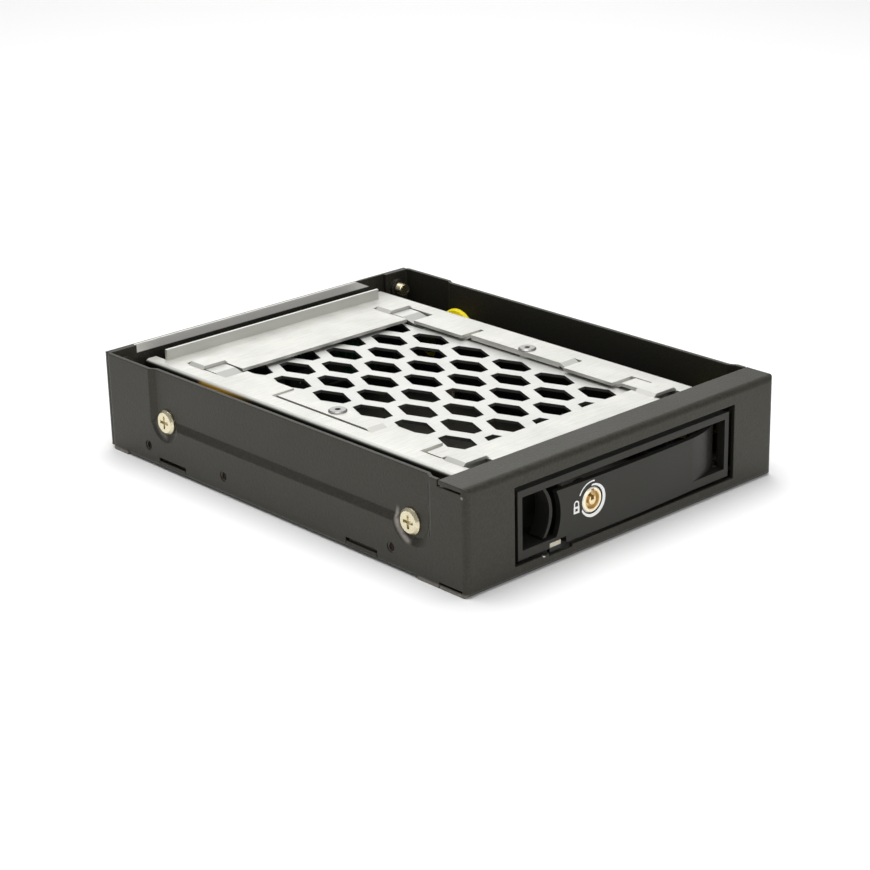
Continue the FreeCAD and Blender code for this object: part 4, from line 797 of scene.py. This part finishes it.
class Finishes:
    """Every finish of the rack, built once, by the record's material slot."""

    def __init__(self) -> None:
        """Build the materials."""
        # Painted highlights on the left wall: glints beside the front and rear side screws, a thin pale line
        # near the front and a glint at the end of the flange slit.
        painted_highlights = (PaintedHighlightArc((-48.62, 13.29), 5.3, -34.0, 48.0, 0.75),
                PaintedHighlightArc((40.16, 13.18), 4.7, -48.0, 30.0, 0.45),
                PaintedHighlightArc((144.95, 19.0), 200.0, 180.0, 1.9, 0.14, 0.12, 0.1, 0.0002),
                PaintedHighlightArc((-65.0, 23.2), 0.0, 0.0, 180.0, 0.6, 0.28, 0.2))
        door_black = (0.0075, 0.0073, 0.0065), (0.0165, 0.016, 0.0141)
        door_tint = (1.0, 0.975, 0.87)
        recipes = {
            # Painted highlights on the left wall and a painted floor reflection along the foot.
            "black_paint": GrainedPaint(
                "black_paint_grained", (0.0075, 0.0072, 0.0058), (0.024, 0.0228, 0.0186), 0.48,
                chip_centre=(-27.5, FRONT_Y, 2.95), chip_reach=0.42, painted_highlights=painted_highlights, foot=0.45),
            "rear_sheet": GrainedPaint(
                "black_rear_sheet", (0.008, 0.0078, 0.007), (0.024, 0.0234, 0.021), 0.45, strip=True),
            "nickel_screw": RolledSheet(
                "nickel_plate", (0.58, 0.52, 0.36), (0.84, 0.77, 0.56), 0.28, lift=0.002, edge=0.09),
            # Painted light on slopes and cut edges, and painted gap shade with a painted reflection on the
            # cage's flanks.
            "bare_steel": RolledSheet(
                "zinc_sheet", (0.5, 0.498, 0.468), (0.74, 0.738, 0.698), 0.5, Axis.ACROSS, metal=0.75,
                painted_slope_tone=1.1, painted_edge_tone=1.15, gap_shade_beyond=38.0),
            # Painted shade on slopes and cut edges.
            "vent_steel": RolledSheet(
                "punched_sheet", (0.54, 0.54, 0.515), (0.7, 0.7, 0.675), 0.5, Axis.ACROSS, metal=0.75,
                painted_slope_tone=0.75, painted_edge_tone=0.22),
            "rivet_steel": RolledSheet("rivet_steel", (0.24, 0.237, 0.225), (0.42, 0.415, 0.4), 0.34),
            "thread_steel": RolledSheet("thread_steel", (0.06, 0.047, 0.038), (0.17, 0.135, 0.11), 0.34),
            "black_plastic": Moulding("black_moulding", (0.004, 0.004, 0.004), (0.012, 0.012, 0.0117), 0.6),
            "yellow_rubber": Moulding(
                "yellow_rubber", (0.95, 0.72, 0.003), (1.0, 0.88, 0.006), 0.5, 0.4, 0.02,
                unlit_side=(0.0, -1.0, 0.0), unlit_spot=(49.5, -52.0, 13.0)),
            "circuit_board": SolderMask("green_solder_mask", (0.004, 0.02, 0.011), (0.012, 0.06, 0.03)),
            "spring_steel": RolledSheet(
                "spring_steel", (0.52, 0.51, 0.5), (0.76, 0.75, 0.73), 0.32, Axis.ALONG),
            "door_plastic": Moulding(
                "door_moulding", *door_black, 0.45, unlit_depth=2.6, unlit_side=(0.0, 0.0, 1.0),
                tint=door_tint, shine=0.4),
            "trigger_plastic": Moulding(
                "trigger_moulding", *door_black, 0.45, unlit_depth=1.3, tint=door_tint),
            "lock_brass": LockBrass(
                "lock_brass", (0.64, 0.47, 0.22), (0.98, 0.81, 0.5), (0.99, 0.94, 0.8),
                (LOCK_X, FRONT_Y, LOCK_Z), 2.5),
            # The catch's black lower part is painted shade.
            "catch_steel": RolledSheet(
                "catch_steel", (0.5, 0.46, 0.37), (0.72, 0.67, 0.55), 0.42, Axis.ALONG, metal=0.7,
                painted_shade_below=3.95),
            "black_oxide": GrainedPaint(
                "black_oxide", (0.008, 0.008, 0.008), (0.02, 0.02, 0.02), 0.5, 0.2, 0.006),
            "white_ink": InkPrint("white_ink", (0.86, 0.86, 0.84), (0.55, 0.55, 0.53)),
            "gold_plate": RolledSheet("gold_plate", (0.75, 0.5, 0.16), (0.98, 0.76, 0.36), 0.25),
            "chip_body": Moulding("chip_body", (0.012, 0.012, 0.013), (0.035, 0.035, 0.036), 0.42, 0.1),
            "ceramic": Moulding("ceramic_body", (0.3, 0.2, 0.11), (0.5, 0.36, 0.21), 0.5, 0.1),
        }
        self.made = {slot: recipe.material() for slot, recipe in recipes.items()}

    def __getitem__(self, name: str) -> Material:
        """The material of a slot or of a small part."""
        return self.made[name]

    def dress_solids(self) -> None:
        """Give every solid of the frame the finish of its slot."""
        special = {"lock_barrel": "lock_brass", "hinge_bracket": "black_oxide", "hinge_pin": "black_oxide",
                   "ejector_bar": "black_oxide", "board_standoffs": "rivet_steel",
                   "latch_bolt": "catch_steel", "latch_trigger": "trigger_plastic"}
        for part in frame["record"]["subparts"]:
            solid = frame["nodes"][part["node"]]
            finish = self.made[special.get(part["node"], part["material_slot"])]
            for number in range(len(solid.material_slots)):
                solid.material_slots[number].material = finish
            if not solid.material_slots:
                solid.data.materials.append(finish)
            LOG.info("%s wears %s", part["node"], finish.name)


@dataclass
class LockMarks:
    """White marks printed round the lock: ring, turning arc and padlock sign."""

    ring_outer: float = 3.95
    ring_inner: float = 3.35
    ring_shift: Pair = (0.3, -0.2)
    ring_open: Pair = (93.0, 209.0)
    arc_radius: float = 4.32
    arc_width: float = 0.3
    arc_shift: Pair = (0.1, 0.15)
    arc_angles: Pair = (81.0, 155.0)
    sign_x: float = -16.85
    sign_z: float = 10.72
    sign_width: float = 1.75
    sign_height: float = 1.65
    shackle_radius: float = 0.62
    shackle_width: float = 0.34
    shackle_leg: float = 0.62
    keyhole: float = 0.36
    corner: float = 0.12
    overlap: float = 0.05
    slack: float = 0.01
    standoff: float = 1.0
    ring_sides: int = 96
    arc_steps: int = 40
    bow_steps: int = 20
    ink: float = 0.03
    sunk: float = 0.05

    def build(self, finishes: Finishes) -> None:
        """Make all the marks and hand them over to the door.

        Args:
            finishes: The rack's finishes.
        """
        for mark in (self.ring(), self.arc(), self.sign()):
            self.lay(mark)
            Bench.hand_over(mark, finishes["white_ink"], "door", "door_plastic")

    def flat_place(self, x: float, z: float) -> Vector:
        """Point in front of the door panel, in metres."""
        return Vector((x, FRONT_Y - self.standoff, z)) * MM

    def ring(self) -> Piece:
        """Open ring, thick at the lower right.

        Returns:
            The flat ring.
        """
        Bench.clear()
        dx, dz = self.ring_shift
        bpy.ops.mesh.primitive_circle_add(
            vertices=self.ring_sides, radius=self.ring_outer * MM, fill_type="NGON",
            location=self.flat_place(LOCK_X + dx, LOCK_Z + dz), rotation=UPRIGHT)
        ring = Bench.named("lock_ring_mark")
        Bench.pick_all()
        bpy.ops.mesh.inset(thickness=(self.ring_outer - self.ring_inner) * MM)
        bpy.ops.transform.translate(value=Vector((-dx, 0.0, -dz)) * MM)
        bpy.ops.mesh.delete(type="FACE")
        start, end = self.ring_open

        def in_gap(face: bpy.types.MeshPolygon) -> bool:
            """Say if a face lies in the ring's opening."""
            x, _, z = face.center / MM
            return start < math.degrees(math.atan2(z - LOCK_Z, x - LOCK_X)) % 360.0 < end

        Bench.pick(ring, "FACE", in_gap)
        bpy.ops.mesh.delete(type="FACE")
        Bench.done()
        return ring

    def swept(self, name: str, centre: Vector, radius: float, width: float, angles: Pair,
              steps: int) -> Piece:
        """Flat arc, spun from its first edge.

        Args:
            name: Name of the piece.
            centre: Centre of the arc in metres.
            radius: Middle radius in millimetres.
            width: Width in millimetres.
            angles: First and last angle in degrees, from +x towards +z.
            steps: Number of faces along the arc.

        Returns:
            The flat arc.
        """
        Bench.clear()
        first = math.radians(angles[0])
        along = Vector((math.cos(first), 0.0, math.sin(first)))
        middle = centre + along * radius * MM
        bpy.ops.mesh.primitive_plane_add(
            size=width * MM, location=middle, rotation=(math.pi / 2, -first, 0.0))
        arc = Bench.named(name)
        across = Vector((-along.z, 0.0, along.x))

        def ahead(vertex: bpy.types.MeshVertex) -> bool:
            """Say if a vertex lies ahead of the first edge."""
            return (vertex.co - middle).dot(across) > 0.0

        Bench.pick(arc, "VERT", ahead)
        bpy.ops.mesh.delete(type="VERT")
        bpy.ops.mesh.select_all(action="SELECT")
        bpy.ops.transform.translate(value=across * width / 2 * MM)
        bpy.ops.mesh.spin(steps=steps, angle=math.radians(angles[1] - angles[0]), center=centre,
                          axis=(0.0, 1.0, 0.0))
        Bench.done()
        return arc

    def arc(self) -> Piece:
        """Thin arc that shows which way the key turns.

        Returns:
            The flat arc.
        """
        dx, dz = self.arc_shift
        return self.swept("lock_arc_mark", self.flat_place(LOCK_X + dx, LOCK_Z + dz),
                          self.arc_radius, self.arc_width, self.arc_angles, self.arc_steps)

    def sign(self) -> Piece:
        """Padlock sign: a body with a keyhole, and a shackle on two legs.

        Returns:
            The flat sign.
        """
        Bench.clear()
        bpy.ops.mesh.primitive_plane_add(
            size=MM, location=self.flat_place(self.sign_x, self.sign_z), rotation=UPRIGHT)
        bpy.ops.transform.resize(value=(self.sign_width, 1.0, self.sign_height))
        body = Bench.named("padlock_mark")
        Bench.pick_all()
        bpy.ops.mesh.inset(thickness=(self.sign_width / 2 - self.keyhole) * MM)
        bpy.ops.mesh.bevel(offset=self.corner * MM, segments=3, affect="VERTICES")
        bpy.ops.mesh.delete(type="FACE")
        Bench.done()
        foot = self.sign_z + self.sign_height / 2
        centre = self.flat_place(self.sign_x, foot + self.shackle_leg)
        bow = self.swept("padlock_bow", centre, self.shackle_radius, self.shackle_width, (0.0, 180.0),
                         self.bow_steps)

        def leg_end(edge: bpy.types.MeshEdge) -> bool:
            """Say if an edge is one of the bow's two open ends."""
            return all(abs(bow.data.vertices[i].co.z - centre.z) < self.slack * MM for i in edge.vertices)

        Bench.pick(bow, "EDGE", leg_end)
        bpy.ops.mesh.extrude_region_move(
            TRANSFORM_OT_translate={"value": (0.0, 0.0, -(self.shackle_leg + self.overlap) * MM)})
        Bench.done()
        return Bench.joined("padlock_mark", [body, bow])

    def lay(self, mark: Piece) -> None:
        """Press a flat mark onto the bowed panel and give it the thickness of ink.

        Args:
            mark: The flat mark in front of the door.
        """
        Bench.modify(mark, "SHRINKWRAP", target=frame["nodes"]["door_front"], wrap_method="PROJECT",
                     use_project_y=True, use_negative_direction=True)
        Bench.tidy_faces(mark)
        bpy.ops.transform.translate(value=(0.0, -self.ink * MM, 0.0))
        Bench.settle(mark)
        if sum(face.normal.y for face in mark.data.polygons) > 0.0:
            Bench.pick_all()
            bpy.ops.mesh.flip_normals()
            Bench.done()
        Bench.modify(mark, "SOLIDIFY", thickness=(self.ink + self.sunk) * MM, offset=-1.0)


@dataclass
class LeafSpring:
    """Bowed leaf between the catch and the lock's boss."""

    fixed_x: float = -16.0
    travel: float = 1.0

    def build(self, finishes: Finishes) -> None:
        """Copy the leaf's solid, merge its faces and let it ride on the door in place of the solid.

        Args:
            finishes: The rack's finishes.
        """
        Bench.clear()
        solid = frame["nodes"]["latch_spring"]
        leaf = bpy.data.objects.new("latch_leaf", solid.data.copy())
        bpy.context.scene.collection.objects.link(leaf)
        Bench.tidy_faces(leaf)
        Bench.hand_over(leaf, finishes["spring_steel"], "door", "spring_steel")
        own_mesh(leaf)
        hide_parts("latch_spring")


@dataclass
class Threads:
    """Ridges of one kind of thread, which stand out from screws or into holes."""

    name: str
    root: float
    crest: float
    pitch: float
    turns: int
    places: Sequence[Triple]
    heading: float
    finish: str
    slot: str
    sunk: float = 0.1
    crest_share: float = 0.3
    steps: int = 24

    def build(self, finishes: Finishes) -> None:
        """Make the first thread, copy it to the other places and hand it over.

        Args:
            finishes: The rack's finishes.
        """
        first = Vector(self.places[0])
        thread = Bench.copies(self.wound(first * MM), [Vector(place) - first for place in self.places[1:]])
        Bench.hand_over(thread, finishes[self.finish], "housing", self.slot)

    def wound(self, start: Vector) -> Piece:
        """Wind the ridge round an axis, which the heading turns about z from +y.

        Args:
            start: First point of the axis in metres.

        Returns:
            The settled thread.
        """
        Bench.clear()
        middle = start.x + self.root * MM
        bpy.ops.mesh.primitive_plane_add(size=self.pitch * MM, location=(middle, start.y, start.z))
        thread = Bench.named(self.name)
        foot = {vertex.index for vertex in thread.data.vertices if vertex.co.x < middle}
        sink = math.copysign(self.sunk, self.crest - self.root)
        Bench.pick(thread, "VERT", lambda vertex: vertex.index in foot)
        bpy.ops.transform.translate(value=((self.pitch / 2 - sink) * MM, 0.0, 0.0))
        Bench.done()
        Bench.pick(thread, "VERT", lambda vertex: vertex.index not in foot)
        bpy.ops.transform.resize(value=(1.0, self.crest_share, 1.0), center_override=start)
        bpy.ops.transform.translate(value=((self.crest - self.root - self.pitch / 2) * MM, 0.0, 0.0))
        Bench.done()
        Bench.only(thread)
        bpy.context.scene.cursor.location = start
        bpy.ops.object.origin_set(type="ORIGIN_CURSOR")
        Bench.modify(thread, "SCREW", axis="Y", screw_offset=self.pitch * MM, iterations=self.turns,
                     steps=self.steps, render_steps=self.steps, use_merge_vertices=True,
                     merge_threshold=DOUBLED / 2 * MM, use_normal_calculate=True)
        thread.rotation_euler.z = math.radians(self.heading)
        Bench.settle(thread)
        Bench.tidy_faces(thread)
        return thread


@dataclass
class ContactRow:
    """Row of gilded contact springs in a connector."""

    name: str
    first_x: float
    count: int
    front: float
    rear: float
    seat: float
    pitch: float = 1.27
    width: float = 0.62
    height: float = 0.16
    nose: Triple = (0.0, -0.35, -0.07)
    nose_taper: Triple = (0.7, 1.0, 0.6)
    bevel: float = 0.03

    def build(self, finishes: Finishes) -> None:
        """Make one contact with a bent-down nose, copy it along the row and hand it over.

        Args:
            finishes: The rack's finishes.
        """
        centre = Vector((self.first_x, FRONT_Y + (self.front + self.rear) / 2, self.seat))
        contact = Bench.block(self.name, centre, (self.width, self.rear - self.front, self.height))
        Bench.pick(contact, "FACE", lambda face: face.normal.y < -FACING)
        bpy.ops.mesh.extrude_region_move(TRANSFORM_OT_translate={"value": Vector(self.nose) * MM})
        bpy.ops.transform.resize(value=self.nose_taper)
        Bench.done()
        Bench.modify(contact, "BEVEL", width=self.bevel * MM, segments=1, limit_method="ANGLE")
        contact = Bench.copies(contact, [(self.pitch * k, 0.0, 0.0) for k in range(1, self.count)])
        Bench.hand_over(contact, finishes["gold_plate"], "housing", "brass")


@dataclass
class BoardParts:
    """Small soldered parts on the front face of the rear board."""

    face: float = 121.0
    chip_x: float = 2.0
    chip_z: float = 16.0
    chip_width: float = 6.2
    chip_height: float = 3.0
    chip_proud: float = 1.1
    chip_bevel: float = 0.14
    chip_frame: float = 0.35
    chip_sunk: float = 0.05
    chip_seat: float = 0.1
    leg_count: int = 4
    leg_pitch: float = 1.27
    leg_size: Triple = (0.42, 0.16, 0.4)
    leg_place: Pair = (-0.45, 0.15)
    leg_bevel: float = 0.03
    leg_bends: tuple[Triple, ...] = ((0.0, 0.36, 0.25), (0.0, 0.02, 0.35))
    blocks: tuple[Pair, ...] = ((-22.0, 16.2), (-16.5, 16.2), (12.0, 16.4), (16.5, 16.4), (21.0, 15.0))
    block_size: Triple = (2.0, 0.9, 1.2)
    block_bevel: float = 0.08
    end_width: float = 0.5
    end_proud: float = 0.02
    end_over: float = 0.06

    def build(self, finishes: Finishes) -> None:
        """Make the chip, its legs and the capacitors.

        Args:
            finishes: The rack's finishes.
        """
        self.chip_body(finishes)
        self.chip_legs(finishes)
        self.capacitors(finishes)

    def chip_body(self, finishes: Finishes) -> None:
        """Chip with a sunk field in its front.

        Args:
            finishes: The rack's finishes.
        """
        depth = FRONT_Y + self.face - self.chip_proud / 2 - self.chip_seat
        size = (self.chip_width, self.chip_proud, self.chip_height)
        body = Bench.block("board_chip", Vector((self.chip_x, depth, self.chip_z)), size, self.chip_bevel)
        Bench.pick(body, "FACE", lambda face: face.normal.y < -SQUARE_ON)
        bpy.ops.mesh.inset(thickness=self.chip_frame * MM)
        bpy.ops.transform.translate(value=(0.0, self.chip_sunk * MM, 0.0))
        Bench.done()
        Bench.hand_over(body, finishes["chip_body"], "housing", "black_plastic")

    def chip_legs(self, finishes: Finishes) -> None:
        """Eight gull-wing legs, modelled once and copied.

        Args:
            finishes: The rack's finishes.
        """
        x, z = self.chip_x, self.chip_z
        inward, upward = self.leg_place
        first = Vector((x - (self.leg_count - 1) / 2 * self.leg_pitch, FRONT_Y + self.face + inward,
                        z + self.chip_height / 2 + upward))
        leg = Bench.block("board_chip_legs", first, self.leg_size, self.leg_bevel)
        Bench.pick(leg, "FACE", lambda face: face.normal.z > FACING)
        for bend in self.leg_bends:
            bpy.ops.mesh.extrude_region_move(TRANSFORM_OT_translate={"value": Vector(bend) * MM})
        Bench.done()
        leg = Bench.copies(leg, [(self.leg_pitch * k, 0.0, 0.0) for k in range(1, self.leg_count)])
        Bench.only(leg)
        bpy.ops.object.duplicate(linked=False)
        lower = bpy.context.object
        Bench.pick_all()
        bpy.ops.transform.resize(value=(1.0, 1.0, -1.0), center_override=(x * MM, 0.0, z * MM))
        Bench.done()
        legs = Bench.joined("board_chip_legs", [leg, lower])
        Bench.tidy_faces(legs)
        Bench.hand_over(legs, finishes["nickel_screw"], "housing", "nickel_screw")

    def capacitors(self, finishes: Finishes) -> None:
        """Ceramic blocks with plated ends.

        Args:
            finishes: The rack's finishes.
        """
        width, proud, height = self.block_size
        (x, z), rest = self.blocks[0], self.blocks[1:]
        moves = [(bx - x, 0.0, bz - z) for bx, bz in rest]
        middle = Vector((x, FRONT_Y + self.face - proud / 2, z))
        body = Bench.block("board_capacitors", middle, (width, proud, height), self.block_bevel)
        Bench.hand_over(Bench.copies(body, moves), finishes["ceramic"], "housing", "black_plastic")
        size = (self.end_width, proud + self.end_over, height + self.end_over)
        ends = []
        for side in (-1, 1):
            spot = middle + Vector((side * (width / 2 + self.end_proud), -self.end_proud, 0.0))
            ends.append(Bench.block("board_capacitor_ends", spot, size, self.block_bevel))
        cap = Bench.joined("board_capacitor_ends", ends)
        Bench.hand_over(Bench.copies(cap, moves), finishes["nickel_screw"], "housing", "nickel_screw")


@dataclass
class Studio:
    """Pale floor, soft light and the camera."""

    azimuth: float = -42.36
    elevation: float = 20.79
    roll: float = -1.29
    reach: float = 559.0
    target: Triple = (0.0, -1.25, 12.75)
    slide: Pair = (0.27, -5.53)
    lens: float = 94.11
    sensor: float = 36.0
    floor_size: float = 6.0
    paper: tuple[Colour, Colour] = ((0.87, 0.87, 0.87), (0.91, 0.91, 0.91))
    paper_rough: float = 0.9
    paper_cloud: float = 300.0
    sky_strength: float = 0.38
    aim: Triple = (0.0, 0.0, 0.01)
    lamps: tuple[tuple[str, Triple, float, float], ...] = (
        ("key_softbox", (0.0, 0.1, 0.9), 0.7, 8.2), ("rear_softbox", (0.62, 0.75, 0.55), 0.6, 1.5),
        ("front_softbox", (-0.1, -1.0, 0.45), 0.5, 2.9))

    def build(self) -> None:
        """Set up tone, floor, lights and camera."""
        bpy.context.scene.view_settings.view_transform = "Standard"
        self.floor()
        self.sky()
        for lamp in self.lamps:
            self.lamp(*lamp)
        self.camera()

    def floor(self) -> None:
        """Plain floor under the rack."""
        Bench.clear()
        bpy.ops.mesh.primitive_plane_add(size=self.floor_size, location=(0.0, 0.0, 0.0))
        floor = Bench.named("studio_floor")
        board = NodeBoard("studio_paper")
        paper = board.mix(board.noise(self.paper_cloud, 1.0), *self.paper)
        floor.data.materials.append(board.surface(Base_Color=paper, Roughness=self.paper_rough))

    def sky(self) -> None:
        """Even white light from all round."""
        world = bpy.data.worlds.new("studio_sky")
        world.use_nodes = True
        background = world.node_tree.nodes["Background"]
        background.inputs["Color"].default_value = (1.0, 1.0, 1.0, 1.0)
        background.inputs["Strength"].default_value = self.sky_strength
        bpy.context.scene.world = world

    def lamp(self, name: str, place: Triple, size: float, power: float) -> None:
        """Soft square lamp that points at the rack.

        Args:
            name: Its name.
            place: Its place in metres.
            size: Its side in metres.
            power: Its power in watts.
        """
        data = bpy.data.lights.new(name, "AREA")
        data.size = size
        data.energy = power
        lamp = bpy.data.objects.new(name, data)
        lamp.location = place
        lamp.rotation_euler = (Vector(self.aim) - Vector(place)).to_track_quat("-Z", "Y").to_euler()
        bpy.context.scene.collection.objects.link(lamp)

    def camera(self) -> None:
        """Camera at the photograph's angle."""
        turn, tilt, roll = (math.radians(v) for v in (self.azimuth, self.elevation, self.roll))
        back = Vector((math.sin(turn) * math.cos(tilt), -math.cos(turn) * math.cos(tilt), math.sin(tilt)))
        level = Vector((math.cos(turn), math.sin(turn), 0.0))
        upright = back.cross(level)
        right = level * math.cos(roll) + upright * math.sin(roll)
        up = upright * math.cos(roll) - level * math.sin(roll)
        eye = (Vector(self.target) + right * self.slide[0] + up * self.slide[1] + back * self.reach) * MM
        data = bpy.data.cameras.new("studio_camera")
        data.lens = self.lens
        data.sensor_width = self.sensor
        camera = bpy.data.objects.new("studio_camera", data)
        camera.matrix_world = Matrix.Translation(eye) @ Matrix((right, up, back)).transposed().to_4x4()
        bpy.context.scene.collection.objects.link(camera)
        bpy.context.scene.camera = camera


def main() -> None:
    """Dress the solids, add the small pieces and set up the studio."""
    logging.basicConfig(level=logging.INFO, format="%(name)s: %(message)s")
    finishes = Finishes()
    finishes.dress_solids()
    rows = (
        Threads("rear_screw_threads", 1.42, 1.64, 0.55, 4, REAR_SCREWS, 0.0, "nickel_screw", "nickel_screw"),
        Threads("bay_hole_threads", 1.25, 1.02, 0.45, 1, BAY_HOLES, -90.0, "thread_steel", "spring_steel"),
        ContactRow("drive_power_contacts", -25.6, 14, 113.8, 118.3, 9.32),
        ContactRow("drive_data_contacts", -2.6, 6, 113.8, 118.3, 9.32),
        ContactRow("data_plug_contacts", -23.8, 7, 124.8, 129.8, 10.25),
        ContactRow("power_plug_contacts", -5.1, 15, 124.8, 129.8, 10.25))
    for group in (LockMarks(), LeafSpring(), *rows, BoardParts()):
        group.build(finishes)
    Studio().build()


if __name__ == "__main__":
    main()
